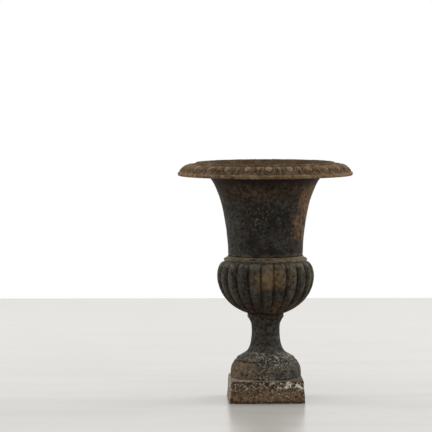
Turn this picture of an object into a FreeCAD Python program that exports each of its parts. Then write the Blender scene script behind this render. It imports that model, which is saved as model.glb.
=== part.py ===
import FreeCAD, Part
import math
import os

from FreeCAD import Vector

# Cast-iron garden urn: five castings bolted together, one step file for each piece.
# Lengths are millimetres and angles degrees. Z points up, the floor is at zero and the axis of the urn is Z.

# Plinth, a hollow square base with leaning sides
plinth_height = 66.0
plinth_margin = 3.0
plinth_batter = 4.5
plinth_top_bevel = 1.2
plinth_corner_radius = 3.0
plinth_wall = 8.0
plinth_plate_thickness = 9.0
plinth_hole_radius = 62.0

# Ring on the plinth that centres the stem
plinth_register_height = 6.0
plinth_register_wall = 7.0

# Putty bed between plinth and stem
bedding_thickness = 1.5
bedding_margin = 1.0

# Stem, from the dome up to the collar
stem_wall = 8.0
dome_radius = 103.5
dome_top_radius = 91.0
dome_height = 50.5
dome_step = 3.0
shoulder_height = 15.5
shoulder_top_radius = 72.0
neck_radius = 41.0
neck_foot_cove_height = 64.0
neck_height = 17.5
neck_top_cove_height = 25.5
collar_radius = 53.0
collar_height = 12.0
collar_slope = 3.5

# Bowl, lobed below and banded above
bowl_seat_overhang = 2.5
bowl_crest_radius = 142.8
bowl_crest_height = 110.0
bowl_wall = 6.5
bowl_floor_thickness = 14.0
bowl_floor_radius = 61.0
bowl_throat_wall = 9.0
lobe_count = 22
lobe_depth = 9.5
lobe_upper_height = 41.5
lobe_ledge = 3.5
lobe_gap = 2.0
lobe_lower_sections = 7
lobe_upper_sections = 7
drain_count = 4
drain_radius = 4.5
drain_gap = 1.0
bowl_spigot_depth = 8.0

# Band at the waist, cast on the bowl: a half-round bead and a small cove above it
band_height = 15.5
band_ledge = 1.1
band_cove_width = 8.0
bead_height = 8.5
bead_depth = 4.1
bead_undercut = 1.0

# Joint at the waist
waist_flange_thickness = 9.0
waist_flange_width = 32.4
waist_spigot_depth = 6.0
waist_spigot_wall = 7.0
waist_bolt_count = 6
waist_bolt_edge = 14.0

# Bell, the flared body
bell_height = 247.0
bell_foot_radius = 109.4
bell_mouth_radius = 171.5
bell_wall = 7.0
bell_foot_flange_thickness = 8.0
bell_mouth_flare = 5.0

# Joint under the rim
top_flange_thickness = 7.0
top_flange_width = 30.5
rim_bolt_count = 6
rim_bolt_edge = 10.0
rim_tapped_depth = 13.0
rim_tapped_spare = 2.5

# Rim, an overturned ring
rim_height = 28.0
rim_flare_width = 24.5
lip_width = 11.0
lip_rise = 3.5
rim_groove_width = 4.3
rim_groove_depth = 2.2
ovolo_drop = 8.0
ovolo_height = 21.0
ovolo_width = 41.5
ovolo_tuck = 10.0
fascia_height = 11.0
fascia_step = 6.0
fascia_bevel = 1.4
fascia_wall = 8.0
rim_shell = 8.0

# Eggs and darts on the ovolo
egg_count = 24
egg_length = 41.0
egg_width = 30.0
egg_sink = 11.2
dart_length = 40.0
dart_width = 13.0
dart_sink = 4.0

# Bolts of the rim and waist
bolt_radius = 4.0
bolt_head_side = 13.0
bolt_head_height = 5.5
bolt_end = 2.5
bolt_washer_radius = 8.5
bolt_washer_thickness = 1.6
bolt_nut_height = 6.5

# Tie rod and its bar
rod_radius = 8.0
rod_end = 6.0
rod_nut_side = 24.0
rod_nut_height = 13.0
rod_washer_radius = 18.0
rod_washer_thickness = 3.0
bridge_bearing = 26.0
bridge_width = 40.0
bridge_thickness = 10.0

# Fits
bolt_clearance = 0.5
thread_clearance = 0.1
register_clearance = 0.4

# Outlines as shares of the sizes that they follow
bell_shares = [(0.0, 0.0), (0.15, 0.02), (0.30, 0.08), (0.45, 0.168),
               (0.60, 0.282), (0.72, 0.41), (0.89, 0.69), (1.0, 1.0)]
dome_middle_shares = (0.79, 0.60)
shoulder_middle_shares = (0.70, 0.57)
neck_cove_shares = [(0.0, 1.0), (0.165, 0.48), (0.39, 0.20), (0.71, 0.05), (1.0, 0.0)]
neck_top_middle_shares = (0.22, 0.55)
dome_bore_share = 0.5
band_cove_shares = (0.33, 0.45)
rim_flare_shares = (0.45, 0.55)
egg_sector_share = 0.3
egg_middle_share = 0.5

# Levels, each from the ones below
floor = 0.0
plinth_top = floor + plinth_height
bridge_top = plinth_top - plinth_plate_thickness
stem_base = plinth_top + bedding_thickness
dome_top_level = stem_base + dome_height
shoulder_top_level = dome_top_level + shoulder_height
neck_foot_level = shoulder_top_level + neck_foot_cove_height
neck_top_level = neck_foot_level + neck_height
collar_foot_level = neck_top_level + neck_top_cove_height + collar_slope
stem_top = collar_foot_level + collar_height
bowl_floor_top = stem_top + bowl_floor_thickness
crest_level = stem_top + bowl_crest_height
lobe_top_level = crest_level + lobe_upper_height
bead_foot_level = lobe_top_level + lobe_gap
waist = bead_foot_level + band_height
bell_top = waist + bell_height
rim_top = bell_top + rim_height

# Fits between pieces
plinth_top_side = 2 * (dome_radius + plinth_margin)
plinth_foot_side = plinth_top_side + 2 * plinth_batter
stem_foot_bore_radius = dome_radius - stem_wall
stem_bore_radius = neck_radius - stem_wall
register_radius = stem_foot_bore_radius - register_clearance
bolt_hole_radius = bolt_radius + bolt_clearance
tapped_radius = bolt_radius + thread_clearance
rod_hole_radius = rod_radius + bolt_clearance
drain_circle_radius = rod_washer_radius + drain_gap + drain_radius
bowl_seat_radius = collar_radius + bowl_seat_overhang
band_top_radius = bell_foot_radius + band_ledge
bead_edge_radius = band_top_radius + band_cove_width
band_neck_radius = bead_edge_radius - bead_undercut
lobe_top_radius = band_neck_radius + lobe_ledge
waist_opening_radius = bell_foot_radius - bell_wall - waist_flange_width
waist_bolt_circle_radius = waist_opening_radius + waist_bolt_edge
top_flange_radius = bell_mouth_radius + top_flange_width
rim_bolt_circle_radius = top_flange_radius - rim_bolt_edge
rim_bore_radius = bell_mouth_radius - bell_wall + bell_mouth_flare
lip_inner_radius = rim_bore_radius + rim_flare_width
lip_outer_radius = lip_inner_radius + lip_width


def at(radius, height):
    """A point of an outline, in the plane through the axis."""
    return Vector(radius, 0, height)


def between(start, end, share):
    return start + (end - start) * share


def line(start, end):
    return Part.makeLine(start, end)


def arc(start, middle, end):
    return Part.Arc(start, middle, end).toShape()


def curve(points):
    spline = Part.BSplineCurve()
    spline.interpolate(points)
    return spline.toShape()


def chain(*points):
    """Straight edges from point to point."""
    return [line(first, second) for first, second in zip(points, points[1:])]


def elliptic_arc(centre, width, height, start_angle, end_angle):
    """Part of an upright ellipse, with angles counted from its outer side upwards."""
    def on_ellipse(angle):
        turn = math.radians(angle)
        return centre + Vector(width * math.cos(turn), 0, height * math.sin(turn))

    steps = 8
    return curve([on_ellipse(between(start_angle, end_angle, step / steps)) for step in range(steps + 1)])


def revolved(edges, angle=360):
    """Solid of revolution about the axis from the edges of a closed outline."""
    face = Part.Face(Part.Wire(Part.__sortEdges__(edges)))
    return face.revolve(Vector(0, 0, 0), Vector(0, 0, 1), angle)


def ring(inner_radius, outer_radius, base, height):
    """Plain ring that stands on a level."""
    disc = Part.makeCylinder(outer_radius, height, at(0, base))
    return disc.cut(Part.makeCylinder(inner_radius, height, at(0, base)))


def square_block(side, base, height):
    corner = Vector(-side / 2, -side / 2, base)
    return Part.makeBox(side, side, height, corner)


def moved(shape, x, y, z):
    copy = shape.copy()
    copy.translate(Vector(x, y, z))
    return copy


def turned(shape, angle):
    copy = shape.copy()
    copy.rotate(Vector(0, 0, 0), Vector(0, 0, 1), angle)
    return copy


def around(shape, count, first_angle=0):
    """Copies of a shape spaced evenly about the axis."""
    return [turned(shape, first_angle + 360 / count * number) for number in range(count)]


def drilled(body, hole_radius, circle_radius, base, depth, count):
    hole = Part.makeCylinder(hole_radius, depth, at(circle_radius, base))
    return body.cut(Part.makeCompound(around(hole, count)))


def rounded_square(side, corner_radius, level):
    half = side / 2
    straight = half - corner_radius
    bulge = straight + corner_radius * math.sin(math.radians(45))
    edges = []
    for number in range(4):
        side_end = Vector(half, straight, level)
        side_edge = line(Vector(half, -straight, level), side_end)
        corner = arc(side_end, Vector(bulge, bulge, level), Vector(straight, half, level))
        edges += [turned(side_edge, 90 * number), turned(corner, 90 * number)]
    return Part.Wire(Part.__sortEdges__(edges))


def make_plinth():
    def side_at(level):
        return between(plinth_foot_side, plinth_top_side, level / plinth_height)

    bevel_level = plinth_top - plinth_top_bevel
    outside = Part.makeLoft([
        rounded_square(plinth_foot_side, plinth_corner_radius, floor),
        rounded_square(side_at(bevel_level), plinth_corner_radius, bevel_level),
        rounded_square(side_at(bevel_level) - 2 * plinth_top_bevel, plinth_corner_radius, plinth_top),
    ], True, True)
    inside = Part.makeLoft([
        rounded_square(plinth_foot_side - 2 * plinth_wall, plinth_corner_radius, floor),
        rounded_square(side_at(bridge_top) - 2 * plinth_wall, plinth_corner_radius, bridge_top),
    ], True, True)
    hole = Part.makeCylinder(plinth_hole_radius, plinth_height, at(0, floor))
    register_bore = register_radius - plinth_register_wall
    register = ring(register_bore, register_radius, plinth_top, plinth_register_height)
    return outside.cut(inside).cut(hole).fuse(register).removeSplitter()


def make_bedding():
    return ring(stem_foot_bore_radius, dome_radius + bedding_margin, plinth_top, bedding_thickness)


def make_stem():
    dome_foot = at(dome_radius, stem_base)
    dome_top = at(dome_top_radius, dome_top_level)
    shoulder_foot = at(dome_top_radius - dome_step, dome_top_level)
    shoulder_top = at(shoulder_top_radius, shoulder_top_level)
    neck_foot = at(neck_radius, neck_foot_level)
    neck_top = at(neck_radius, neck_top_level)
    collar_foot = at(collar_radius, collar_foot_level)
    cove_top = at(collar_radius - collar_slope, collar_foot_level - collar_slope)

    def middle(start, end, shares):
        return at(between(end.x, start.x, shares[0]), between(start.z, end.z, shares[1]))

    def neck_cove(start, end):
        return curve([at(between(end.x, start.x, radius_share), between(start.z, end.z, height_share))
                      for height_share, radius_share in neck_cove_shares])

    outside = [
        arc(dome_foot, middle(dome_foot, dome_top, dome_middle_shares), dome_top),
        line(dome_top, shoulder_foot),
        arc(shoulder_foot, middle(shoulder_foot, shoulder_top, shoulder_middle_shares), shoulder_top),
        neck_cove(shoulder_top, neck_foot),
        line(neck_foot, neck_top),
        arc(neck_top, middle(cove_top, neck_top, neck_top_middle_shares), cove_top),
        *chain(cove_top, collar_foot, at(collar_radius, stem_top), at(0, stem_top), at(0, stem_base),
               dome_foot),
    ]
    bore_foot = at(stem_foot_bore_radius, stem_base)
    bore_dome = at(stem_foot_bore_radius, stem_base + dome_height * dome_bore_share)
    bore_shoulder = at(shoulder_top_radius - stem_wall, shoulder_top_level - stem_wall)
    bore_neck = at(stem_bore_radius, neck_foot_level)
    dome_bulge = at(dome_top_radius - stem_wall, dome_top_level - stem_wall)
    inside = [
        line(bore_foot, bore_dome),
        arc(bore_dome, dome_bulge, bore_shoulder),
        neck_cove(bore_shoulder, bore_neck),
        *chain(bore_neck, at(stem_bore_radius, stem_top), at(0, stem_top), at(0, stem_base), bore_foot),
    ]
    return revolved(outside).cut(revolved(inside))


def lobed_wire(crest_radius, groove_radius, level):
    """Closed wire of one arc for each lobe."""
    half_pitch = math.radians(180 / lobe_count)
    start = Vector(groove_radius * math.cos(half_pitch), -groove_radius * math.sin(half_pitch), level)
    end = Vector(start.x, -start.y, level)
    lobe = arc(start, Vector(crest_radius, 0, level), end)
    return Part.Wire(Part.__sortEdges__(around(lobe, lobe_count, -90)))


def make_lobed_body():
    """Lower body: lobes that follow one ellipse below the widest level and a second one above it."""
    groove_share = 1 - lobe_depth / bowl_crest_radius
    seat_share = bowl_seat_radius / bowl_crest_radius
    lower_height = bowl_crest_height / math.sqrt(1 - seat_share ** 2)
    lower_turn = math.acos(seat_share)
    upper_crest = bowl_crest_radius - lobe_top_radius
    upper_groove = bowl_crest_radius * groove_share - lobe_top_radius
    wires = []
    for step in range(lobe_lower_sections):
        turn = lower_turn * (1 - step / lobe_lower_sections)
        radius = bowl_crest_radius * math.cos(turn)
        level = crest_level - lower_height * math.sin(turn)
        wires.append(lobed_wire(radius, radius * groove_share, level))
    for step in range(lobe_upper_sections + 1):
        turn = math.radians(90 * step / lobe_upper_sections)
        crest = lobe_top_radius + upper_crest * math.cos(turn)
        groove = lobe_top_radius + upper_groove * math.cos(turn)
        wires.append(lobed_wire(crest, groove, crest_level + lobe_upper_height * math.sin(turn)))
    return Part.makeLoft(wires, True, False)


def make_band():
    """Upper body with the bead and cove, down to the widest level inside the lobes."""
    bead_foot = at(bead_edge_radius, bead_foot_level)
    bead_middle = at(bead_edge_radius + bead_depth, bead_foot_level + bead_height / 2)
    bead_top = at(bead_edge_radius, bead_foot_level + bead_height)
    band_top = at(band_top_radius, waist)
    cove_middle = at(between(band_top.x, bead_top.x, band_cove_shares[0]),
                     between(bead_top.z, band_top.z, band_cove_shares[1]))
    return revolved([
        arc(bead_foot, bead_middle, bead_top),
        arc(bead_top, cove_middle, band_top),
        *chain(band_top, at(0, waist), at(0, crest_level), at(band_neck_radius, crest_level),
               at(band_neck_radius, bead_foot_level), bead_foot),
    ])


def make_bowl_cavity():
    flange_foot = waist - waist_flange_thickness
    inner_radius = bowl_crest_radius - lobe_depth - bowl_wall
    floor_share = bowl_floor_radius / inner_radius
    lower_height = (crest_level - bowl_floor_top) / math.sqrt(1 - floor_share ** 2)
    lower_angle = -math.degrees(math.acos(floor_share))
    throat_radius = band_neck_radius - bowl_throat_wall
    throat = at(throat_radius, lobe_top_level - bowl_wall)
    throat_centre = at(throat_radius, crest_level)
    return revolved([
        elliptic_arc(at(0, crest_level), inner_radius, lower_height, lower_angle, 0),
        elliptic_arc(throat_centre, inner_radius - throat_radius, throat.z - crest_level, 0, 90),
        *chain(throat, at(throat_radius, flange_foot), at(waist_opening_radius, flange_foot),
               at(waist_opening_radius, waist), at(0, waist), at(0, bowl_floor_top),
               at(bowl_floor_radius, bowl_floor_top)),
    ])


def make_bowl():
    spigot_base = stem_top - bowl_spigot_depth
    spigot_radius = stem_bore_radius - register_clearance
    spigot = Part.makeCylinder(spigot_radius, bowl_spigot_depth, at(0, spigot_base))
    floor_depth = bowl_spigot_depth + bowl_floor_thickness
    rod_hole = Part.makeCylinder(rod_hole_radius, floor_depth, at(0, spigot_base))
    body = make_lobed_body().fuse([make_band(), spigot]).cut([make_bowl_cavity(), rod_hole])
    body = drilled(body, drain_radius, drain_circle_radius, spigot_base, floor_depth, drain_count)
    flange_foot = waist - waist_flange_thickness
    return drilled(body, bolt_hole_radius, waist_bolt_circle_radius, flange_foot, waist_flange_thickness,
                   waist_bolt_count)


def bell_curve(foot_radius, mouth_radius, height):
    return curve([at(between(foot_radius, mouth_radius, radius_share), waist + height * height_share)
                  for height_share, radius_share in bell_shares])


def make_bell():
    flange_foot = bell_top - top_flange_thickness
    inner_foot_radius = bell_foot_radius - bell_wall
    shell = revolved([
        bell_curve(bell_foot_radius, bell_mouth_radius, bell_height - top_flange_thickness),
        *chain(at(bell_mouth_radius, flange_foot), at(top_flange_radius, flange_foot),
               at(top_flange_radius, bell_top), at(rim_bore_radius, bell_top)),
        bell_curve(inner_foot_radius, rim_bore_radius, bell_height),
        line(at(inner_foot_radius, waist), at(bell_foot_radius, waist)),
    ])
    spigot_radius = waist_opening_radius - register_clearance
    spigot_bore_radius = spigot_radius - waist_spigot_wall
    flange_edge_radius = bell_foot_radius - bell_wall / 2
    foot_flange = ring(spigot_bore_radius, flange_edge_radius, waist, bell_foot_flange_thickness)
    spigot = ring(spigot_bore_radius, spigot_radius, waist - waist_spigot_depth, waist_spigot_depth)
    body = shell.fuse([foot_flange, spigot]).removeSplitter()
    body = drilled(body, bolt_hole_radius, waist_bolt_circle_radius, waist, bell_foot_flange_thickness,
                   waist_bolt_count)
    return drilled(body, bolt_hole_radius, rim_bolt_circle_radius, flange_foot, top_flange_thickness,
                   rim_bolt_count)


def make_bump(length, width, sink, middle, slope):
    """Egg-shaped bump that lies along the ovolo with its middle sunk below the surface."""
    meridian = elliptic_arc(at(0, 0), width / 2, length / 2, -90, 90)
    bump = revolved([meridian, line(at(0, -length / 2), at(0, length / 2))])
    bump.translate(at(-sink, 0))
    bump.rotate(Vector(0, 0, 0), Vector(0, 1, 0), -slope)
    bump.translate(middle)
    return bump


def make_rim():
    """Ring built from one sector with an egg and a dart, repeated about the axis."""
    lip_foot = rim_top - lip_rise
    ovolo_start = at(lip_outer_radius + rim_groove_width, rim_top - ovolo_drop)
    groove = at(lip_outer_radius + rim_groove_width / 2, ovolo_start.z - rim_groove_depth)
    fascia_top = ovolo_start.z - ovolo_height
    fascia_foot = fascia_top - fascia_height
    ovolo_centre = at(ovolo_start.x, fascia_top - ovolo_tuck)
    ovolo_end = at(ovolo_start.x + ovolo_width, fascia_top)
    ovolo_rise = ovolo_tuck + ovolo_height
    ovolo_angle = math.degrees(math.asin(ovolo_tuck / ovolo_rise))
    ovolo_reach = ovolo_width / math.cos(math.radians(ovolo_angle))
    rim_radius = ovolo_end.x + fascia_step
    seat = at(rim_bore_radius, bell_top)
    lip_start = at(lip_inner_radius, lip_foot)
    lip_end = at(lip_outer_radius, lip_foot)
    flare_middle = at(between(seat.x, lip_start.x, rim_flare_shares[0]),
                      between(seat.z, lip_start.z, rim_flare_shares[1]))
    outline = [
        arc(seat, flare_middle, lip_start),
        arc(lip_start, at(lip_inner_radius + lip_width / 2, rim_top), lip_end),
        *chain(lip_end, groove, ovolo_start),
        elliptic_arc(ovolo_centre, ovolo_reach, ovolo_rise, ovolo_angle, 90),
        *chain(ovolo_end, at(rim_radius, fascia_top), at(rim_radius, fascia_foot + fascia_bevel),
               at(rim_radius - fascia_bevel, fascia_foot), at(top_flange_radius, fascia_foot),
               at(top_flange_radius, bell_top), seat),
    ]
    channel_radius = rim_radius - fascia_wall
    channel_foot = at(channel_radius, fascia_top - rim_shell)
    channel_centre = at(top_flange_radius, channel_foot.z)
    channel_width = channel_radius - top_flange_radius
    below_eggs = fascia_foot - egg_width
    channel = revolved([
        elliptic_arc(channel_centre, channel_width, ovolo_height, 0, 90),
        *chain(channel_foot, at(channel_radius, below_eggs), at(top_flange_radius, below_eggs),
               at(top_flange_radius, channel_foot.z + ovolo_height)),
    ])
    pitch = 360 / egg_count
    sector = turned(revolved(outline, pitch), -pitch * egg_sector_share)
    turn = math.radians(between(ovolo_angle, 90, egg_middle_share))
    middle = ovolo_centre + at(ovolo_reach * math.cos(turn), ovolo_rise * math.sin(turn))
    slope = math.degrees(math.atan2(ovolo_reach * math.sin(turn), ovolo_rise * math.cos(turn)))
    egg = make_bump(egg_length, egg_width, egg_sink, middle, slope)
    dart = turned(make_bump(dart_length, dart_width, dart_sink, middle, slope), pitch / 2)
    sectors = around(sector.fuse([egg, dart]).cut(channel), egg_count, -90)
    body = sectors[0].fuse(sectors[1:]).removeSplitter()
    return drilled(body, tapped_radius, rim_bolt_circle_radius, bell_top, rim_tapped_depth, rim_bolt_count)


def make_bolt(length):
    """Square-headed bolt that points up, with the underside of its head at zero."""
    head = square_block(bolt_head_side, -bolt_head_height, bolt_head_height)
    return head.fuse(Part.makeCylinder(bolt_radius, length))


def make_rim_bolts():
    length = bolt_washer_thickness + top_flange_thickness + rim_tapped_depth - rim_tapped_spare
    head_level = bell_top - top_flange_thickness - bolt_washer_thickness
    return around(moved(make_bolt(length), rim_bolt_circle_radius, 0, head_level), rim_bolt_count)


def make_bolt_washer(circle_radius, base):
    washer = ring(bolt_hole_radius, bolt_washer_radius, base, bolt_washer_thickness)
    return moved(washer, circle_radius, 0, 0)


def make_rim_washers():
    base = bell_top - top_flange_thickness - bolt_washer_thickness
    return around(make_bolt_washer(rim_bolt_circle_radius, base), rim_bolt_count)


def make_waist_bolts():
    grip = 2 * bolt_washer_thickness + bell_foot_flange_thickness + waist_flange_thickness
    bolt = make_bolt(grip + bolt_nut_height + bolt_end)
    bolt.rotate(Vector(0, 0, 0), Vector(1, 0, 0), 180)
    head_level = waist + bell_foot_flange_thickness + bolt_washer_thickness
    return around(moved(bolt, waist_bolt_circle_radius, 0, head_level), waist_bolt_count)


def make_waist_washers():
    upper = make_bolt_washer(waist_bolt_circle_radius, waist + bell_foot_flange_thickness)
    lower_base = waist - waist_flange_thickness - bolt_washer_thickness
    lower = make_bolt_washer(waist_bolt_circle_radius, lower_base)
    return around(upper, waist_bolt_count) + around(lower, waist_bolt_count)


def make_square_nut(side, height, bore_radius, base):
    return square_block(side, base, height).cut(Part.makeCylinder(bore_radius, height, at(0, base)))


def make_waist_nuts():
    base = waist - waist_flange_thickness - bolt_washer_thickness - bolt_nut_height
    nut = make_square_nut(bolt_head_side, bolt_nut_height, tapped_radius, base)
    return around(moved(nut, waist_bolt_circle_radius, 0, 0), waist_bolt_count)


def make_bridge_bar():
    bridge_length = 2 * (plinth_hole_radius + bridge_bearing)
    corner = Vector(-bridge_length / 2, -bridge_width / 2, bridge_top - bridge_thickness)
    bar = Part.makeBox(bridge_length, bridge_width, bridge_thickness, corner)
    return bar.cut(Part.makeCylinder(rod_hole_radius, bridge_thickness, at(0, corner.z)))


def make_rod_parts():
    """Tie rod with a washer and a nut at each end."""
    thickness = rod_washer_thickness
    lower_washer_base = bridge_top - bridge_thickness - thickness
    lower_nut_base = lower_washer_base - rod_nut_height
    upper_nut_base = bowl_floor_top + thickness
    rod_base = lower_nut_base - rod_end
    rod_length = upper_nut_base + rod_nut_height + rod_end - rod_base
    nut_bore = rod_radius + thread_clearance
    return {
        "tie_rod": Part.makeCylinder(rod_radius, rod_length, at(0, rod_base)),
        "tie_rod_top_washer": ring(rod_hole_radius, rod_washer_radius, bowl_floor_top, thickness),
        "tie_rod_top_nut": make_square_nut(rod_nut_side, rod_nut_height, nut_bore, upper_nut_base),
        "tie_rod_bottom_washer": ring(rod_hole_radius, rod_washer_radius, lower_washer_base, thickness),
        "tie_rod_bottom_nut": make_square_nut(rod_nut_side, rod_nut_height, nut_bore, lower_nut_base),
    }


pieces = {
    "rim": make_rim(),
    "bell": make_bell(),
    "bowl": make_bowl(),
    "stem": make_stem(),
    "plinth": make_plinth(),
    "plinth_bedding": make_bedding(),
    "bridge_bar": make_bridge_bar(),
    "rim_bolts": Part.makeCompound(make_rim_bolts()),
    "rim_washers": Part.makeCompound(make_rim_washers()),
    "waist_bolts": Part.makeCompound(make_waist_bolts()),
    "waist_washers": Part.makeCompound(make_waist_washers()),
    "waist_nuts": Part.makeCompound(make_waist_nuts()),
    **make_rod_parts(),
}

os.makedirs("parts", exist_ok=True)
for name, shape in pieces.items():
    shape.exportStep("parts/" + name + ".step")
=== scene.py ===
import math

import bmesh
import bpy
from mathutils import Matrix, Vector


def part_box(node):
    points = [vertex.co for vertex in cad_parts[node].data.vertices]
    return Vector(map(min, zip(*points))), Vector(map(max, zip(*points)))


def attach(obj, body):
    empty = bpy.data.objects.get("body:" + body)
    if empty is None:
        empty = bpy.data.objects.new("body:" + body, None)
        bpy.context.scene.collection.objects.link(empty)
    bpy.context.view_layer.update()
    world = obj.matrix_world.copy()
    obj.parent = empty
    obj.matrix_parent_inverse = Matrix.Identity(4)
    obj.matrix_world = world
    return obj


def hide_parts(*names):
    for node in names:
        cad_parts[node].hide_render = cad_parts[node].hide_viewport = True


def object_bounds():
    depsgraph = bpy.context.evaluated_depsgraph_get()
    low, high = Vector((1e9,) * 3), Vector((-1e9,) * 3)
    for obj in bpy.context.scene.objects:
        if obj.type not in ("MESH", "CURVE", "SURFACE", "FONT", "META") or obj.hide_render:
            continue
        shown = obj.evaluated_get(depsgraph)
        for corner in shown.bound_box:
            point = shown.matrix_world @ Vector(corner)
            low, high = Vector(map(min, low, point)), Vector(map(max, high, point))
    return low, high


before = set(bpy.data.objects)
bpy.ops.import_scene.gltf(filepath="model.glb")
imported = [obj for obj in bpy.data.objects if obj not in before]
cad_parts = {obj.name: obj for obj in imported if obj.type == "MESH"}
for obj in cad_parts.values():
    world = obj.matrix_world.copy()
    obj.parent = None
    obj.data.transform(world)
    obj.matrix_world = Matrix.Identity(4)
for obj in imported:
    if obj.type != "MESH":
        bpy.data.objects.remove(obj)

bl_info = {
    "name": "Cast-iron garden urn",
    "version": (1, 0, 0),
    "blender": (4, 5, 0),
    "location": "3D View > Sidebar > Urn",
    "description": "Builds a weathered cast-iron urn with egg-and-dart rim, lobed bowl and plinth",
    "category": "Object",
}

# Levels and reaches that the packed model gives, in metres
CAD_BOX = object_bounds()
RIM_LOW, RIM_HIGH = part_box("rim")
BELL_LOW, BELL_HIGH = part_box("bell")
BOWL_LOW, BOWL_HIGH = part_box("bowl")
STEM_LOW, STEM_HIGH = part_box("stem")
PLINTH_LOW, PLINTH_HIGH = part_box("plinth")
BED_LOW, BED_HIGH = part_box("plinth_bedding")
WAIST = BOWL_HIGH.z
BODY = "root"
FULL_TURN = 2 * math.pi


# Sizes and colours that a user may change

def length(name, default, description):
    return bpy.props.FloatProperty(name=name, description=description, default=default,
                                   subtype="DISTANCE", unit="LENGTH", precision=4)


def count(name, default, description):
    return bpy.props.IntProperty(name=name, description=description, default=default, min=1)


def share(name, default, description):
    return bpy.props.FloatProperty(name=name, description=description, default=default,
                                   min=0, max=1, subtype="FACTOR")


def angle(name, default, description):
    """An angle whose default is given in degrees."""
    return bpy.props.FloatProperty(name=name, description=description, default=math.radians(default),
                                   subtype="ANGLE", unit="ROTATION")


def amount(name, default, description):
    return bpy.props.FloatProperty(name=name, description=description, default=default, min=0)


def colour(name, default, description):
    return bpy.props.FloatVectorProperty(name=name, description=description, default=default,
                                         size=3, min=0, max=1, subtype="COLOR")


def spot(name, default, description):
    return bpy.props.FloatVectorProperty(name=name, description=description, default=default,
                                         size=3, subtype="TRANSLATION", unit="LENGTH")


def direction(name, default, description):
    return bpy.props.FloatVectorProperty(name=name, description=description, default=default,
                                         size=3, subtype="DIRECTION")


class UrnRimSizes(bpy.types.PropertyGroup):
    """Rim"""

    bore: length("Bore", 0.1695, "Inner radius of the rim where it sits on the bell")
    flare: length("Flare", 0.0245, "Width of the inside flare up to the lip")
    lip_width: length("Lip width", 0.011, "Width of the rounded lip")
    lip_rise: length("Lip rise", 0.0035, "Height of the rounded lip")
    groove_width: length("Groove width", 0.0043, "Width of the groove outside the lip")
    groove_depth: length("Groove depth", 0.0022, "Depth of the groove outside the lip")
    ovolo_drop: length("Ovolo drop", 0.008, "How far the ovolo starts below the lip")
    ovolo_height: length("Ovolo height", 0.021, "Height of the ovolo above the fascia")
    ovolo_width: length("Ovolo width", 0.0415, "Width of the ovolo's ground")
    ovolo_tuck: length("Ovolo tuck", 0.010, "How far the ovolo's centre lies below the fascia's top")
    fascia_bevel: length("Fascia bevel", 0.0024, "Worn bevel on the fascia's edges")
    fascia_wall: length("Fascia wall", 0.008, "Wall thickness of the fascia")
    shell: length("Shell", 0.008, "Wall thickness of the ovolo")
    egg_count: count("Eggs", 24, "Number of eggs round the rim")
    egg_height: length("Egg height", 0.0046, "How far an egg stands out of the ground")
    shell_height: length("Shell height", 0.0036, "How far the two shells round an egg stand out")
    dart_height: length("Dart height", 0.0038, "How far a dart stands out")
    ground_depth: length("Ground depth", 0.0004, "How far the ground is sunk below the ovolo")
    steps_per_egg: count("Steps per egg", 28, "Mesh steps from one egg to the next")


class UrnBellSizes(bpy.types.PropertyGroup):
    """Bell"""

    foot_radius: length("Foot radius", 0.1094, "Outer radius at the waist")
    mouth_radius: length("Mouth radius", 0.1715, "Outer radius under the rim")
    wall: length("Wall", 0.007, "Wall thickness")
    mouth_flare: length("Mouth flare", 0.005, "How much the wall thins at the mouth")
    top_flange: length("Top flange", 0.007, "Thickness of the flange under the rim")
    foot_flange: length("Foot flange", 0.008, "Thickness of the inner flange at the waist")
    spigot_radius: length("Spigot radius", 0.0696, "Outer radius of the ring that centres the bell")
    spigot_wall: length("Spigot wall", 0.007, "Wall of the ring that centres the bell")
    steps: count("Steps", 288, "Mesh steps round the bell")


class UrnBowlSizes(bpy.types.PropertyGroup):
    """Bowl"""

    seat_radius: length("Seat radius", 0.0555, "Radius where the bowl meets the stem")
    crest_radius: length("Crest radius", 0.1428, "Largest radius, on the lobes' crests")
    crest_height: length("Crest height", 0.110, "Height of the widest level above the seat")
    lobe_top_radius: length("Lobe top radius", 0.121, "Radius where the lobes end below the band")
    lobe_upper_height: length("Lobe upper height", 0.0415, "Height of the lobes above the widest level")
    lobe_gap: length("Lobe gap", 0.002, "Gap between the lobes and the bead")
    lobe_count: count("Lobes", 22, "Number of lobes round the bowl")
    lobe_depth: length("Lobe depth", 0.0105, "Depth of the grooves between the lobes")
    lobe_end: share("Lobe end", 0.36, "Share of the groove depth that is left at the lobes' tops")
    lobe_fade: amount("Lobe fade", 0.6, "How late the grooves fade towards the lobes' tops, less is later")
    lobe_roundness: share("Lobe roundness", 0.80, "How nearly a lobe's section is a half circle")
    neck_radius: length("Neck radius", 0.1200, "Radius between the lobes and the bead")
    bead_edge: length("Bead edge", 0.1185, "Radius of the bead's two edges")
    bead_depth: length("Bead depth", 0.0041, "How far the bead stands out")
    bead_height: length("Bead height", 0.0085, "Height of the bead")
    band_top: length("Band top", 0.1105, "Radius of the band's upper edge")
    throat_radius: length("Throat radius", 0.1085, "Inner radius below the flange")
    inner_radius: length("Inner radius", 0.1268, "Largest inner radius")
    floor_radius: length("Floor radius", 0.061, "Radius of the flat floor")
    floor_thickness: length("Floor thickness", 0.014, "Thickness of the floor")
    opening_radius: length("Opening radius", 0.070, "Radius of the opening at the waist")
    flange: length("Flange", 0.009, "Thickness of the inner flange at the waist")
    spigot_radius: length("Spigot radius", 0.0326, "Radius of the spigot in the stem")
    rod_hole: length("Rod hole", 0.0085, "Radius of the tie rod's hole")
    drain_count: count("Drains", 4, "Number of drain holes in the floor")
    drain_radius: length("Drain radius", 0.0045, "Radius of a drain hole")
    drain_circle: length("Drain circle", 0.0235, "Radius of the circle of drain holes")
    drain_steps: count("Drain steps", 28, "Mesh steps round a drain hole")
    steps_per_lobe: count("Steps per lobe", 20, "Mesh steps from one lobe to the next")


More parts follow.
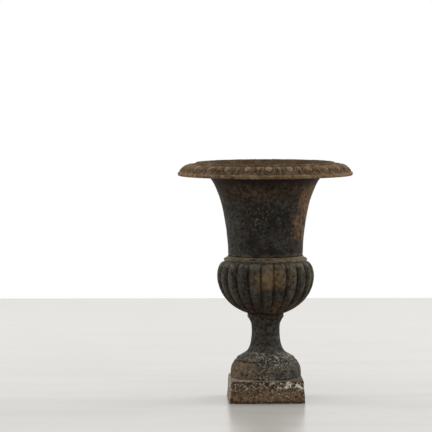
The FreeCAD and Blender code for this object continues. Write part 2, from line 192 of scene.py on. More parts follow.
class UrnStemSizes(bpy.types.PropertyGroup):
    """Stem"""

    dome_top_radius: length("Dome top radius", 0.091, "Radius at the dome's upper edge")
    dome_height: length("Dome height", 0.0505, "Height of the dome")
    dome_step: length("Dome step", 0.003, "Width of the small step above the dome")
    shoulder_height: length("Shoulder height", 0.0155, "Height of the rounded shoulder")
    shoulder_radius: length("Shoulder radius", 0.072, "Radius at the shoulder's top")
    neck_radius: length("Neck radius", 0.041, "Smallest radius")
    foot_cove: length("Foot cove", 0.064, "Height of the cove between shoulder and neck")
    neck_height: length("Neck height", 0.0175, "Height of the straight neck")
    collar_radius: length("Collar radius", 0.053, "Radius of the collar")
    collar_height: length("Collar height", 0.012, "Height of the collar")
    collar_slope: length("Collar slope", 0.0035, "Bevel below the collar")
    wall: length("Wall", 0.008, "Wall thickness")
    steps: count("Steps", 216, "Mesh steps round the stem")


class UrnPlinthSizes(bpy.types.PropertyGroup):
    """Plinth"""

    top_half: length("Top half side", 0.1065, "Half of the side at the top")
    bevel: length("Bevel", 0.0012, "Bevel on the top edge")
    corner_radius: length("Corner radius", 0.003, "Radius of the upright corners")
    wall: length("Wall", 0.008, "Wall thickness")
    plate: length("Plate", 0.009, "Thickness of the top plate")
    hole_radius: length("Hole radius", 0.062, "Radius of the hole in the top plate")
    register_radius: length("Register radius", 0.0951, "Outer radius of the ring that centres the stem")
    register_wall: length("Register wall", 0.007, "Wall of the ring that centres the stem")
    break_depth: length("Break depth", 0.0075, "How much is broken off the front right corner at the foot")
    break_way: direction("Break way", (1.0, -0.8, -1.1), "Direction in which the corner broke off")
    side_steps: count("Side steps", 84, "Mesh steps along one side")
    corner_steps: count("Corner steps", 6, "Mesh steps round one corner")


class UrnFastenerSizes(bpy.types.PropertyGroup):
    """Bolts and tie rod"""

    bolt_radius: length("Bolt radius", 0.004, "Shank radius of the rim and waist bolts")
    head_half: length("Head half side", 0.0065, "Half of a bolt head's side")
    head_height: length("Head height", 0.0055, "Height of a bolt head")
    twist: angle("Twist", 9.0, "Largest turn of a head or nut out of line")
    washer_thickness: length("Washer thickness", 0.0016, "Thickness of the bolt washers")
    washer_radius: length("Washer radius", 0.0085, "Outer radius of the bolt washers")
    hole_radius: length("Hole radius", 0.0045, "Inner radius of the bolt washers")
    rod_radius: length("Rod radius", 0.008, "Radius of the tie rod")
    rod_hole: length("Rod washer hole", 0.0085, "Inner radius of the rod's washers")
    thread_pitch: length("Thread pitch", 0.002, "Pitch of the tie rod's thread")
    thread_depth: length("Thread depth", 0.0009, "Depth of the tie rod's thread")
    thread_steps: count("Thread steps", 4, "Mesh steps along one pitch of the thread")
    rod_steps: count("Rod steps", 24, "Mesh steps round the tie rod")
    washer_steps: count("Washer steps", 32, "Mesh steps round a washer")
    side_steps: count("Side steps", 8, "Mesh steps along one side of a nut or head")
    corner_steps: count("Corner steps", 3, "Mesh steps round one corner of a nut or head")
    bolt_count: count("Bolts", 6, "Number of bolts in each ring")


class UrnSkin(bpy.types.PropertyGroup):
    """Cast surface"""

    wave: length("Wave", 0.0005, "Depth of the castings' slow unevenness")
    wave_size: length("Wave size", 0.034, "Width of one wave of the unevenness")
    grain: length("Grain", 0.0003, "Depth of the castings' rust grain")
    grain_size: length("Grain size", 0.0075, "Width of one rust grain")
    chip: length("Chip", 0.0016, "Depth of chips along worn edges")
    chip_size: length("Chip size", 0.019, "Width of one chip")
    ragged_size: length("Ragged size", 0.012, "Width of the steps in broken and ragged edges")


class UrnColours(bpy.types.PropertyGroup):
    """Colours"""

    paint: colour("Paint", (0.0118, 0.0107, 0.0092), "Old black paint")
    # Greyed paint colour, also laid as painted light on the bell's lower left side
    worn_paint: colour("Worn paint", (0.0405, 0.0380, 0.0328), "Greyed paint")
    # Dark dirt colour, also laid as painted shade under the bell's rim and, with real grime, in hollows
    dirt: colour("Dirt", (0.0045, 0.0024, 0.0010), "Dirt in hollows")
    # Dust colour, also laid as painted highlight on the bowl's crests and as painted light over the lobes'
    # tops and band
    dust: colour("Dust", (0.1350, 0.1200, 0.0930), "Dry dust on high grains")
    dark_rust: colour("Dark rust", (0.0420, 0.0205, 0.0090), "Old dark rust")
    rust: colour("Rust", (0.1450, 0.0870, 0.0440), "Brown rust")
    warm_rust: colour("Warm rust", (0.2050, 0.1000, 0.0430), "Bright orange rust")
    # Tan colour, also laid as painted highlight on the rim's crests and as painted light on the plinth's
    # left face
    tan: colour("Tan", (0.2200, 0.1680, 0.1080), "Dry tan bloom on worn crests")
    ochre: colour("Ochre", (0.1550, 0.1130, 0.0430), "Ochre stain")
    moss: colour("Moss", (0.0620, 0.0540, 0.0300), "Thin olive growth")
    chalk: colour("Chalk", (0.5600, 0.5200, 0.4200), "Off-white flakes and specks")
    # Putty colour, also laid as a painted highlight along the plinth's top edge
    putty: colour("Putty", (0.3200, 0.2900, 0.2300), "Weathered putty")


class UrnStage(bpy.types.PropertyGroup):
    """Floor, lights and camera"""

    floor_colour: colour("Floor", (0.415, 0.402, 0.377), "Pale floor")
    # Floor colour towards the far edge, painted light that lightens the floor's far part
    floor_far: colour("Far floor", (0.430, 0.418, 0.395), "Pale floor towards its far edge")
    floor_stain: colour("Floor stain", (0.355, 0.342, 0.317), "Faint marks on the floor")
    floor_back: length("Floor back", 3.39, "How far the floor reaches behind the urn")
    floor_front: length("Floor front", 9.50, "How far the floor reaches in front of the urn")
    floor_half: length("Floor half width", 7.00, "Half of the floor's width")
    camera_distance: length("Camera distance", 8.52, "Distance of the camera from the urn's axis")
    camera_height: length("Camera height", 1.050, "Height of the camera above the floor")
    camera_side: angle("Camera side", -2.5, "Turn of the camera about the urn's axis")
    camera_pitch: angle("Camera pitch", 3.420, "Angle of the camera below the horizon")
    camera_pan: angle("Camera pan", 0.963, "Turn of the camera away from the urn's axis")
    camera_roll: angle("Camera roll", 0.18, "Tilt of the camera about its line of sight")
    lens: amount("Lens", 242.4, "Focal length in millimetres")
    sensor: amount("Sensor", 36.0, "Width of the sensor in millimetres")
    top_power: amount("Top power", 4.0, "Power of the light above, in watts")
    top_place: spot("Top place", (0.0, -0.4, 3.2), "Where the light above hangs")
    top_side: length("Top side", 3.4, "Side of the light above")
    left_power: amount("Left power", 125.0, "Power of the light on the left, in watts")
    left_place: spot("Left place", (-4.2, 1.2, 2.6), "Where the light on the left stands")
    left_side: length("Left side", 3.2, "Side of the light on the left")
    right_power: amount("Right power", 180.0, "Power of the light on the right, in watts")
    right_place: spot("Right place", (4.2, 1.2, 2.6), "Where the light on the right stands")
    right_side: length("Right side", 3.2, "Side of the light on the right")
    back_power: amount("Back power", 30.0, "Power of the light behind the urn, in watts")
    back_place: spot("Back place", (0.0, 4.6, 2.8), "Where the light behind the urn stands")
    back_side: length("Back side", 3.0, "Side of the light behind the urn")
    ambient: amount("Ambient", 0.95, "Strength of the light from all round")


# Node trees: a value with arithmetic, and the few nodes that the trees share

def put(tree, socket, value):
    """Sets a socket, or links a field to it."""
    if isinstance(value, Field):
        tree.links.new(value.socket, socket)
    elif isinstance(value, (tuple, list)) and socket.type == "RGBA":
        socket.default_value = (*value, 1.0)
    else:
        socket.default_value = value


class Field:
    """A value in a node tree. Arithmetic on it adds the matching Math nodes."""

    def __init__(self, tree, socket):
        self.tree = tree
        self.socket = socket

    def math(self, operation, *values):
        node = self.tree.nodes.new("ShaderNodeMath")
        node.operation = operation
        for socket, value in zip(node.inputs, (self, *values)):
            put(self.tree, socket, value)
        return Field(self.tree, node.outputs[0])

    def __add__(self, other):
        return self.math("ADD", other)

    def __sub__(self, other):
        return self.math("SUBTRACT", other)

    def __mul__(self, other):
        return self.math("MULTIPLY", other)

    def __truediv__(self, other):
        return self.math("DIVIDE", other)

    def __neg__(self):
        return self.math("MULTIPLY", -1.0)

    def inverse(self):
        """One minus the value."""
        return -self + 1.0

    def size(self):
        """The value without its sign."""
        return self.math("ABSOLUTE")

    def root(self):
        """Square root, and 0 for what lies below 0."""
        return self.math("MAXIMUM", 0.0).math("SQRT")

    def power(self, exponent):
        return self.math("POWER", exponent)

    def most(self, other):
        """The larger of the two."""
        return self.math("MAXIMUM", other)

    def ramp(self, low, high):
        """Smooth step from 0 at low to 1 at high. Low may be the larger of the two."""
        node = self.tree.nodes.new("ShaderNodeMapRange")
        node.interpolation_type = "SMOOTHSTEP"
        put(self.tree, node.inputs["Value"], self)
        put(self.tree, node.inputs["From Min"], low)
        put(self.tree, node.inputs["From Max"], high)
        return Field(self.tree, node.outputs[0])

    def near(self, middle, reach):
        """1 at the middle, falling to 0 at the reach on both sides."""
        return (self - middle).size().ramp(reach, 0.0)


def node_field(tree, kind, output=0):
    return Field(tree, tree.nodes.new(kind).outputs[output])


def vector_math(place, operation, value):
    node = place.tree.nodes.new("ShaderNodeVectorMath")
    node.operation = operation
    put(place.tree, node.inputs[0], place)
    put(place.tree, node.inputs["Scale"] if operation == "SCALE" else node.inputs[1], value)
    return Field(place.tree, node.outputs[0])


def stretched(place, along):
    """Coordinates in which a pattern is drawn out by these factors."""
    return vector_math(place, "DIVIDE", along)


def axes(place):
    node = place.tree.nodes.new("ShaderNodeSeparateXYZ")
    put(place.tree, node.inputs[0], place)
    return [Field(place.tree, socket) for socket in node.outputs]


def noise(place, size, seed, detail=4.0, roughness=0.55):
    """Smooth random value about one half, with features of the given size."""
    node = place.tree.nodes.new("ShaderNodeTexNoise")
    node.noise_dimensions = "4D"
    put(place.tree, node.inputs["Vector"], place)
    put(place.tree, node.inputs["W"], float(seed))
    put(place.tree, node.inputs["Scale"], size.power(-1.0) if isinstance(size, Field) else 1.0 / size)
    put(place.tree, node.inputs["Detail"], detail)
    put(place.tree, node.inputs["Roughness"], roughness)
    return Field(place.tree, node.outputs[0])


def tint(share_field, under, over):
    """Colour that goes from under to over as the share goes from 0 to 1."""
    tree = share_field.tree
    node = tree.nodes.new("ShaderNodeMix")
    node.data_type = "RGBA"
    put(tree, node.inputs[0], share_field)
    put(tree, node.inputs[6], under)
    put(tree, node.inputs[7], over)
    return Field(tree, node.outputs[2])


# Outlines and meshes

def spread(start, end, steps):
    """Even values from start to end, without the end."""
    return [start + (end - start) * step / steps for step in range(steps)]


def between(start, end, out, up):
    """The point that lies these shares of the way out and up from start to end."""
    return (start[0] + (end[0] - start[0]) * out, start[1] + (end[1] - start[1]) * up)


class Outline:
    """Closed outline of a casting as radius and height, with named marks for each point."""

    def __init__(self, *mark_names):
        self.points = []
        self.marks = {name: [] for name in mark_names}

    def add(self, radius, height, **marks):
        self.points.append((radius, height))
        for name, values in self.marks.items():
            values.append(marks.get(name, 0.0))

    def straight(self, start, end, steps, **marks):
        """Even points from start, without the end."""
        for s in spread(0.0, 1.0, steps):
            self.add(*between(start, end, s, s), **marks)

    def chain(self, points, steps, **marks):
        """Straight runs through the points, each with so many steps, without the last point."""
        for start, end in zip(points, points[1:]):
            self.straight(start, end, steps, **marks)

    def ellipse(self, centre, width, height, start, end, steps, mark=None, **marks):
        """Points on an upright ellipse, with angles in degrees from its outer side upwards."""
        for turn in spread(math.radians(start), math.radians(end), steps):
            point = (centre[0] + width * math.cos(turn), centre[1] + height * math.sin(turn))
            extra = mark(turn, point[0]) if mark else {}
            self.add(*point, **marks, **extra)

    def curve(self, points, steps, **marks):
        """Smooth line through the points, with so many steps in each span, without the last point."""
        padded = [mirrored(points[1], points[0]), *points, mirrored(points[-2], points[-1])]
        for before, start, end, after in zip(padded, padded[1:], padded[2:], padded[3:]):
            for s in spread(0.0, 1.0, steps):
                self.add(*(catmull(values, s) for values in zip(before, start, end, after)), **marks)

    def soften(self, rounds):
        """Rounds every corner a little, as casting and wear do."""
        for _ in range(rounds):
            before = self.points[-1:] + self.points[:-1]
            after = self.points[1:] + self.points[:1]
            self.points = [tuple((a + 2 * b + c) / 4 for a, b, c in zip(*three))
                           for three in zip(before, self.points, after)]


def mirrored(point, centre):
    return tuple(2 * c - p for p, c in zip(point, centre))


def catmull(values, s):
    """Smooth value between the second and third of four values."""
    a, b, c, d = values
    return b + 0.5 * s * (c - a + s * (2 * a - 5 * b + 4 * c - d + s * (3 * (b - c) + d - a)))


def round_steps(steps):
    """Unit circle as points, from the front."""
    turns = spread(0.0, FULL_TURN, steps)
    return [(math.sin(turn), -math.cos(turn)) for turn in turns]


def turned_mesh(name, outline, ring):
    """Closed mesh of an outline carried round the axis. The ring places its points at each step."""
    depth = len(outline.points)
    steps = len(ring)
    places = []
    for step in range(steps):
        for number, (radius, height) in enumerate(outline.points):
            places.append((*ring[step](radius, number), height))
    faces = []
    for step in range(steps):
        here, there = step * depth, (step + 1) % steps * depth
        for number in range(depth):
            following = (number + 1) % depth
            faces.append((here + number, there + number, there + following, here + following))
    mesh = bpy.data.meshes.new(name)
    mesh.from_pydata(places, [], faces)
    for mark, values in outline.marks.items():
        mesh.attributes.new(mark, "FLOAT", "POINT").data.foreach_set("value", values * steps)
    return finished_mesh(mesh)


def finished_mesh(mesh):
    """Mesh with its faces turned outwards and shaded smooth."""
    shape = bmesh.new()
    shape.from_mesh(mesh)
    bmesh.ops.recalc_face_normals(shape, faces=shape.faces)
    if shape.calc_volume(signed=True) < 0:
        bmesh.ops.reverse_faces(shape, faces=shape.faces)
    for face in shape.faces:
        face.smooth = True
    shape.to_mesh(mesh)
    shape.free()
    return mesh


def circular(steps):
    """Ring for a round casting."""
    return [lambda radius, number, x=x, y=y: (radius * x, radius * y) for x, y in round_steps(steps)]


def square_ring(outline, corner_radius, side_steps, corner_steps):
    """Ring for a square casting with rounded corners, round where the outline isn't marked square."""
    squares = outline.marks["square"]
    places = []
    for side in range(4):
        turn = side * FULL_TURN / 4
        places += [(along, 0.0, turn) for along in spread(-1.0, 1.0, side_steps)]
        places += [(1.0, corner, turn) for corner in spread(0.0, FULL_TURN / 4, corner_steps)]

    def step_at(along, corner, turn):
        def step(radius, number):
            straight = radius - corner_radius
            x = along * straight + corner_radius * math.sin(corner)
            y = -straight - corner_radius * math.cos(corner)
            flat = Matrix.Rotation(turn, 2) @ Vector((x, y))
            return tuple((flat.normalized() * radius).lerp(flat, squares[number]))
        return step

    return [step_at(*place) for place in places]


def new_piece(name, mesh):
    piece = bpy.data.objects.new(name, mesh)
    bpy.context.scene.collection.objects.link(piece)
    return piece


def declare(piece, slot, *nodes):
    """Hangs a finished piece on the body's empty and hides the packed model's parts that it stands for."""
    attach(piece, BODY)
    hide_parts(*nodes)


# Geometry node trees

class ShapeTree:
    """A geometry node tree under construction, with the geometry as it stands so far."""

    def __init__(self, name, numbers, counts=(), vectors=()):
        self.tree = bpy.data.node_groups.new(name, "GeometryNodeTree")
        self.tree.is_modifier = True
        self.tree.interface.new_socket("Geometry", in_out="OUTPUT", socket_type="NodeSocketGeometry")
        inputs = {"Geometry": ["Geometry"], "Int": counts, "Float": numbers, "Vector": vectors,
                  "Material": ["Material"]}
        for kind, labels in inputs.items():
            for label in labels:
                self.tree.interface.new_socket(label, in_out="INPUT", socket_type="NodeSocket" + kind)
        self.entry = self.tree.nodes.new("NodeGroupInput")
        self.geometry = self.value("Geometry")

    def value(self, label):
        return Field(self.tree, self.entry.outputs[label])

    def mark(self, name):
        node = self.tree.nodes.new("GeometryNodeInputNamedAttribute")
        node.data_type = "FLOAT"
        node.inputs["Name"].default_value = name
        return Field(self.tree, node.outputs[0])

    def place(self):
        return node_field(self.tree, "GeometryNodeInputPosition")

    def normal(self):
        return node_field(self.tree, "GeometryNodeInputNormal")

    def vector(self, x, y, z):
        node = self.tree.nodes.new("ShaderNodeCombineXYZ")
        for socket, value in zip(node.inputs, (x, y, z)):
            put(self.tree, socket, value)
        return Field(self.tree, node.outputs[0])

    def step(self, kind, **values):
        """Passes the geometry through one node."""
        node = self.tree.nodes.new(kind)
        self.tree.links.new(self.geometry.socket, node.inputs[0])
        for label, value in values.items():
            sockets = [s for s in node.inputs if s.name == label.replace("_", " ") and s.enabled]
            put(self.tree, sockets[0], value)
        self.geometry = Field(self.tree, node.outputs[0])
        return node

    def push(self, offset):
        self.step("GeometryNodeSetPosition", Offset=offset)

    def push_along_normal(self, distance):
        self.push(vector_math(self.normal(), "SCALE", distance))

    def push_outwards(self, distance):
        """Moves points level, away from the axis."""
        x, y, _ = axes(self.place())
        outwards = vector_math(self.vector(x, y, 0.0), "NORMALIZE", (0.0, 0.0, 0.0))
        self.push(vector_math(outwards, "SCALE", distance))

    def keep(self, name, value):
        """Keeps a value on the mesh for the materials."""
        self.step("GeometryNodeStoreNamedAttribute", Name=name, Value=value)

    def pattern_share(self, number):
        """Runs from -1 to 1 across each of the repeats round the axis, 0 on the front one's middle."""
        x, y, _ = axes(self.place())
        turns = x.math("ARCTAN2", -y) * number / FULL_TURN
        return turns.math("WRAP", 0.5, -0.5) * 2.0

    def cast_skin(self, seed, proud):
        """Uneven rusted surface, of which a share stands proud, with chips along marked edges."""
        place = self.place()
        waves = noise(place, self.value("Wave size"), seed, 2.0).ramp(0.30, 0.70)
        grains = noise(place, self.value("Grain size"), seed + 1, 3.0).ramp(0.35, 0.70)
        depth = (waves - proud) * self.value("Wave") + (grains - proud) * self.value("Grain")
        self.push_along_normal(-depth * self.mark("skin"))
        chips = noise(self.place(), self.value("Chip size"), seed + 2, 3.0).ramp(0.52, 0.72)
        broken = chips * self.mark("edge")
        self.push_along_normal(-broken * self.value("Chip"))
        self.keep("worn", broken)

    def close(self):
        """Ends the tree in realized geometry with its material."""
        self.step("GeometryNodeRealizeInstances")
        self.step("GeometryNodeSetMaterial", Material=self.value("Material"))
        leave = self.tree.nodes.new("NodeGroupOutput")
        self.tree.links.new(self.geometry.socket, leave.inputs[0])
        return self.tree


SKIN = ("Wave", "Wave size", "Grain", "Grain size", "Chip", "Chip size")


def plain_shape(piece, tree, *groups, **values):
    """Runs a tree on a piece and leaves the result as the piece's plain mesh.

    Each input takes the value of its name, or else the size of that name in one of the groups.
    """
    modifier = piece.modifiers.new(tree.name, "NODES")
    modifier.node_group = tree
    for item in tree.interface.items_tree:
        if item.in_out == "INPUT" and item.socket_type != "NodeSocketGeometry":
            name = item.name.lower().replace(" ", "_")
            sources = [getattr(group, name) for group in groups if hasattr(group, name)]
            modifier[item.identifier] = values[name] if name in values else sources[0]
    graph = bpy.context.evaluated_depsgraph_get()
    mesh = bpy.data.meshes.new_from_object(piece.evaluated_get(graph), preserve_all_data_layers=True,
                                           depsgraph=graph)
    piece.modifiers.remove(modifier)
    unshaped = piece.data
    piece.data = mesh
    mesh.name = piece.name
    bpy.data.meshes.remove(unshaped)


def cast_tree(name, seed):
    """Tree for a casting that has no pattern, only its skin."""
    shape = ShapeTree(name, SKIN)
    shape.cast_skin(seed, 0.5)
    return shape.close()


def egg_and_dart_tree():
    """Eggs in their shells with darts between them, raised on the ovolo.

    Widths are shares of half a repeat, and levels are shares of the way down the ovolo.
    """
    shape = ShapeTree("egg and dart rim", [
        "Egg height", "Shell height", "Dart height", "Ground depth", *SKIN], counts=["Egg count"])
    down = shape.mark("ovolo")
    across = shape.pattern_share(shape.value("Egg count"))
    egg_middle, egg_half_height = 0.41, 0.36
    egg_half_width = down.ramp(0.30, 1.05) * -0.17 + 0.39
    inner_shell, outer_shell, shell_half = 1.48, 2.08, 0.26
    dart_half_width = down.inverse() * 0.24 + 0.035
    egg_reach = (across / egg_half_width).power(2.0) + ((down - egg_middle) / egg_half_height).power(2.0)
    egg = egg_reach.inverse().root()
    rings = egg_reach.root()
    shell = rings.near(inner_shell, shell_half).most(rings.near(outer_shell, shell_half) * 0.8)
    shell = shell * down.ramp(0.04, 0.14)
    dart = (across.size().inverse() / dart_half_width).inverse().most(0.0) * down.ramp(0.05, 0.20)
    heights = egg * shape.value("Egg height")
    heights = heights.most(shell * shape.value("Shell height"))
    heights = heights.most(dart * shape.value("Dart height"))
    zone = down.ramp(0.0, 0.05) * down.ramp(1.0, 0.95)
    raised = heights / shape.value("Egg height")
    # Masks for the hollows, darkened in the finish partly as painted shade, and the crests, paled partly
    # as painted highlight
    shape.keep("hollow", raised.ramp(0.52, 0.087) * zone * (down.ramp(0.60, 0.98) * -0.6 + 1.0))
    shape.keep("crest", raised.ramp(0.61, 0.957) * zone)
    shape.push_along_normal((heights - shape.value("Ground depth")) * zone)
    shape.cast_skin(11, 0.0)
    return shape.close()


def round_fall(square):
    """How far a round section has fallen where the square of the way across has this share."""
    return square.inverse().root().inverse()


def lobed_bowl_tree():
    """Convex lobes with sharp grooves between them, and drain holes through the floor."""
    shape = ShapeTree("lobed bowl", [
        "Lobe depth", "Lobe roundness", "Drain radius", "Drain circle", "Drill level", "Drill depth",
        *SKIN], counts=["Lobe count", "Drain count", "Drain steps"])
    across = shape.pattern_share(shape.value("Lobe count"))
    roundness = shape.value("Lobe roundness")
    fall = round_fall(across.power(2.0) * roundness) / round_fall(roundness)
    groove = fall * shape.mark("lobe")
    # Masks for the grooves, darkened in the finish partly as painted shade, and the crests, paled partly
    # as painted highlight
    shape.keep("hollow", groove.ramp(0.30, 0.95))
    shape.keep("crest", fall.ramp(0.25, 0.0) * shape.mark("lobe"))
    shape.push_outwards(-groove * shape.value("Lobe depth"))
    shape.cast_skin(23, 0.5)
    drill_holes(shape)
    return shape.close()


def drill_holes(shape):
    """Cuts a ring of round holes through the floor."""
    tree = shape.tree
    drill = tree.nodes.new("GeometryNodeMeshCylinder")
    put(tree, drill.inputs["Vertices"], shape.value("Drain steps"))
    put(tree, drill.inputs["Radius"], shape.value("Drain radius"))
    put(tree, drill.inputs["Depth"], shape.value("Drill depth"))
    ring = ring_of_points(shape, shape.value("Drain count"), shape.value("Drain circle"),
                          shape.value("Drill level"))
    drills = tree.nodes.new("GeometryNodeInstanceOnPoints")
    put(tree, drills.inputs["Points"], ring)
    put(tree, drills.inputs["Instance"], Field(tree, drill.outputs["Mesh"]))
    whole = tree.nodes.new("GeometryNodeRealizeInstances")
    put(tree, whole.inputs[0], Field(tree, drills.outputs[0]))
    cut = tree.nodes.new("GeometryNodeMeshBoolean")
    cut.operation = "DIFFERENCE"
    cut.solver = "EXACT"
    put(tree, cut.inputs[0], shape.geometry)
    put(tree, cut.inputs[1], Field(tree, whole.outputs[0]))
    shape.geometry = Field(tree, cut.outputs[0])


def ring_of_points(shape, number, radius, level):
    """Points spaced evenly about the axis."""
    tree = shape.tree
    points = tree.nodes.new("GeometryNodePoints")
    put(tree, points.inputs["Count"], number)
    turn = node_field(tree, "GeometryNodeInputIndex") * FULL_TURN / number
    put(tree, points.inputs["Position"],
        shape.vector(turn.math("COSINE") * radius, turn.math("SINE") * radius, level))
    return Field(tree, points.outputs[0])


def fastener_ring_tree():
    """Copies of one fastener about the axis, each turned by its own small amount."""
    shape = ShapeTree("fastener ring", ["Circle", "Level", "Twist"], counts=["Bolt count", "Seed"])
    tree = shape.tree
    number = shape.value("Bolt count")
    ring = ring_of_points(shape, number, shape.value("Circle"), shape.value("Level"))
    twist = tree.nodes.new("FunctionNodeRandomValue")
    twist.data_type = "FLOAT"
    put(tree, next(s for s in twist.inputs if s.name == "Seed" and s.enabled), shape.value("Seed"))
    random = Field(tree, next(s for s in twist.outputs if s.enabled)) - 0.5
    turn = node_field(tree, "GeometryNodeInputIndex") * FULL_TURN / number
    turn = turn + random * shape.value("Twist")
    copies = tree.nodes.new("GeometryNodeInstanceOnPoints")
    put(tree, copies.inputs["Points"], ring)
    put(tree, copies.inputs["Instance"], shape.geometry)
    put(tree, copies.inputs["Rotation"], shape.vector(0.0, 0.0, turn))
    shape.geometry = Field(tree, copies.outputs[0])
    return shape.close()


def thread_tree():
    """Screw thread cut into a plain rod."""
    shape = ShapeTree("rod thread", ["Thread pitch", "Thread depth"])
    x, y, z = axes(shape.place())
    turns = z / shape.value("Thread pitch") - x.math("ARCTAN2", y) / FULL_TURN
    flank = turns.math("PINGPONG", 0.5) * 2.0
    shape.push_outwards(-flank * shape.value("Thread depth") * shape.mark("skin"))
    return shape.close()


# Finishes

class Finish:
    """A weathered surface under construction: colours laid over one another on object coordinates.

    Right and back are shares of the reach from the axis. Up is the share of the way from foot to top.
    """
    rust_grain = 0.0095
    pit_width = 0.0050
    border_wave = 0.040
    streak_length = 7.0
    relief_strength = 0.8

    def __init__(self, name, ground, foot=0.0, top=1.0, reach=1.0):
        self.material = bpy.data.materials.new(name)
        self.material.use_nodes = True
        self.tree = self.material.node_tree
        self.tree.nodes.clear()
        self.place = node_field(self.tree, "ShaderNodeTexCoord", "Object")
        x, y, z = axes(self.place)
        self.right = x / reach
        self.back = y / reach
        self.up = (z - foot) / (top - foot)
        self.colour = tuple(ground)

    def mark(self, name):
        node = self.tree.nodes.new("ShaderNodeAttribute")
        node.attribute_name = name
        return Field(self.tree, node.outputs["Fac"])

    def lay(self, share_field, over):
        self.colour = tint(share_field, self.colour, tuple(over))

    def wavering(self, axis, seed, sway):
        """A coordinate with slow waves in it, so that a zone gets an uneven border."""
        return axis + (noise(self.place, self.border_wave, seed, 4.0, 0.6) - 0.5) * sway

    def blotches(self, size, seed, low, high):
        """Cloudy patches. The nearer low and high are, the sharper their borders."""
        return noise(self.place, size, seed, 5.0, 0.62).ramp(low, high)

    def streaks(self, size, seed, low, high):
        """Marks drawn out down the walls."""
        drawn_out = stretched(self.place, (1.0, 1.0, self.streak_length))
        return noise(drawn_out, size, seed, 4.0, 0.6).ramp(low, high)

    def flecks(self, size, seed, low, high):
        """Small ragged spots."""
        return noise(self.place, size, seed, 3.0, 0.75).ramp(low, high)

    def pits(self, seed, strength, over):
        """Small dark pits all over."""
        self.lay(self.flecks(self.pit_width, seed, 0.55, 0.61) * strength, over)

    def weather(self, colours, seed, dirt, dust):
        """Dirt in the pits and dust on the high grains, over everything laid so far."""
        grain = noise(self.place, self.rust_grain, seed, 4.0, 0.75)
        self.lay(grain.ramp(0.50, 0.38) * dirt, colours.dirt)
        self.lay(grain.ramp(0.52, 0.66) * dust, colours.dust)

    def done(self, seed, rough, specular, relief, grain=rust_grain):
        """Adds roughness and relief with grains of the given size and ends the material."""
        shader = self.tree.nodes.new("ShaderNodeBsdfPrincipled")
        put(self.tree, shader.inputs["Base Color"], self.colour)
        roughness = noise(self.place, grain * 2, seed, 4.0) * (rough[1] - rough[0]) + rough[0]
        put(self.tree, shader.inputs["Roughness"], roughness)
        shader.inputs["Specular IOR Level"].default_value = specular
        bump = self.tree.nodes.new("ShaderNodeBump")
        bump.inputs["Strength"].default_value = self.relief_strength
        bump.inputs["Distance"].default_value = relief
        put(self.tree, bump.inputs["Height"], noise(self.place, grain, seed, 5.0, 0.75))
        self.tree.links.new(bump.outputs[0], shader.inputs["Normal"])
        leave = self.tree.nodes.new("ShaderNodeOutputMaterial")
        self.tree.links.new(shader.outputs[0], leave.inputs["Surface"])
        return self.material


def old_paint(name, colours, seed, foot, top, reach):
    """Black paint gone grey and brown in patches, the start of most iron finishes."""
    iron = Finish(name, colours.paint, foot, top, reach)
    iron.lay(iron.blotches(0.050, seed, 0.38, 0.66), colours.worn_paint)
    iron.lay(iron.blotches(0.022, seed + 1, 0.50, 0.68) * 0.5, colours.dark_rust)
    return iron


def rim_iron(colours):
    """Brown rusted rim with tan crests that are partly painted highlight, hollows darkened partly by grime
    and partly as painted shade, and a dark olive inside that is partly moss and partly painted leaf shade.
    """
    iron = Finish("rim iron", colours.rust, RIM_LOW.z, RIM_HIGH.z, RIM_HIGH.x)
    iron.lay(iron.blotches(0.034, 31, 0.44, 0.68) * 0.6, colours.dark_rust)
    iron.lay(iron.blotches(0.013, 32, 0.46, 0.62) * 0.7, colours.tan)
    iron.lay(iron.blotches(0.050, 33, 0.54, 0.70) * 0.5, colours.moss)
    iron.lay(iron.blotches(0.030, 34, 0.54, 0.68) * 0.6, colours.warm_rust)
    # Crests paled partly by wear and partly as painted highlight
    iron.lay(iron.mark("crest") * iron.blotches(0.020, 30, 0.30, 0.56) * 0.3, colours.tan)
    # Hollows darkened partly by grime and partly as painted shade
    iron.lay(iron.mark("hollow") * 0.80, colours.dirt)
    lip = iron.up.ramp(0.79, 0.90)
    iron.lay(lip * iron.blotches(0.040, 37, 0.28, 0.52) * 0.7, colours.dark_rust)
    inside = iron.mark("inside")
    # Olive inside, partly moss and partly painted leaf shade and green reflection
    iron.lay(inside * 0.85, colours.moss)
    iron.lay(inside * iron.blotches(0.030, 35, 0.36, 0.58) * 0.8, colours.dark_rust)
    iron.weather(colours, 36, dirt=0.55, dust=0.26)
    return iron.done(36, rough=(0.60, 0.88), specular=0.10, relief=0.0012)


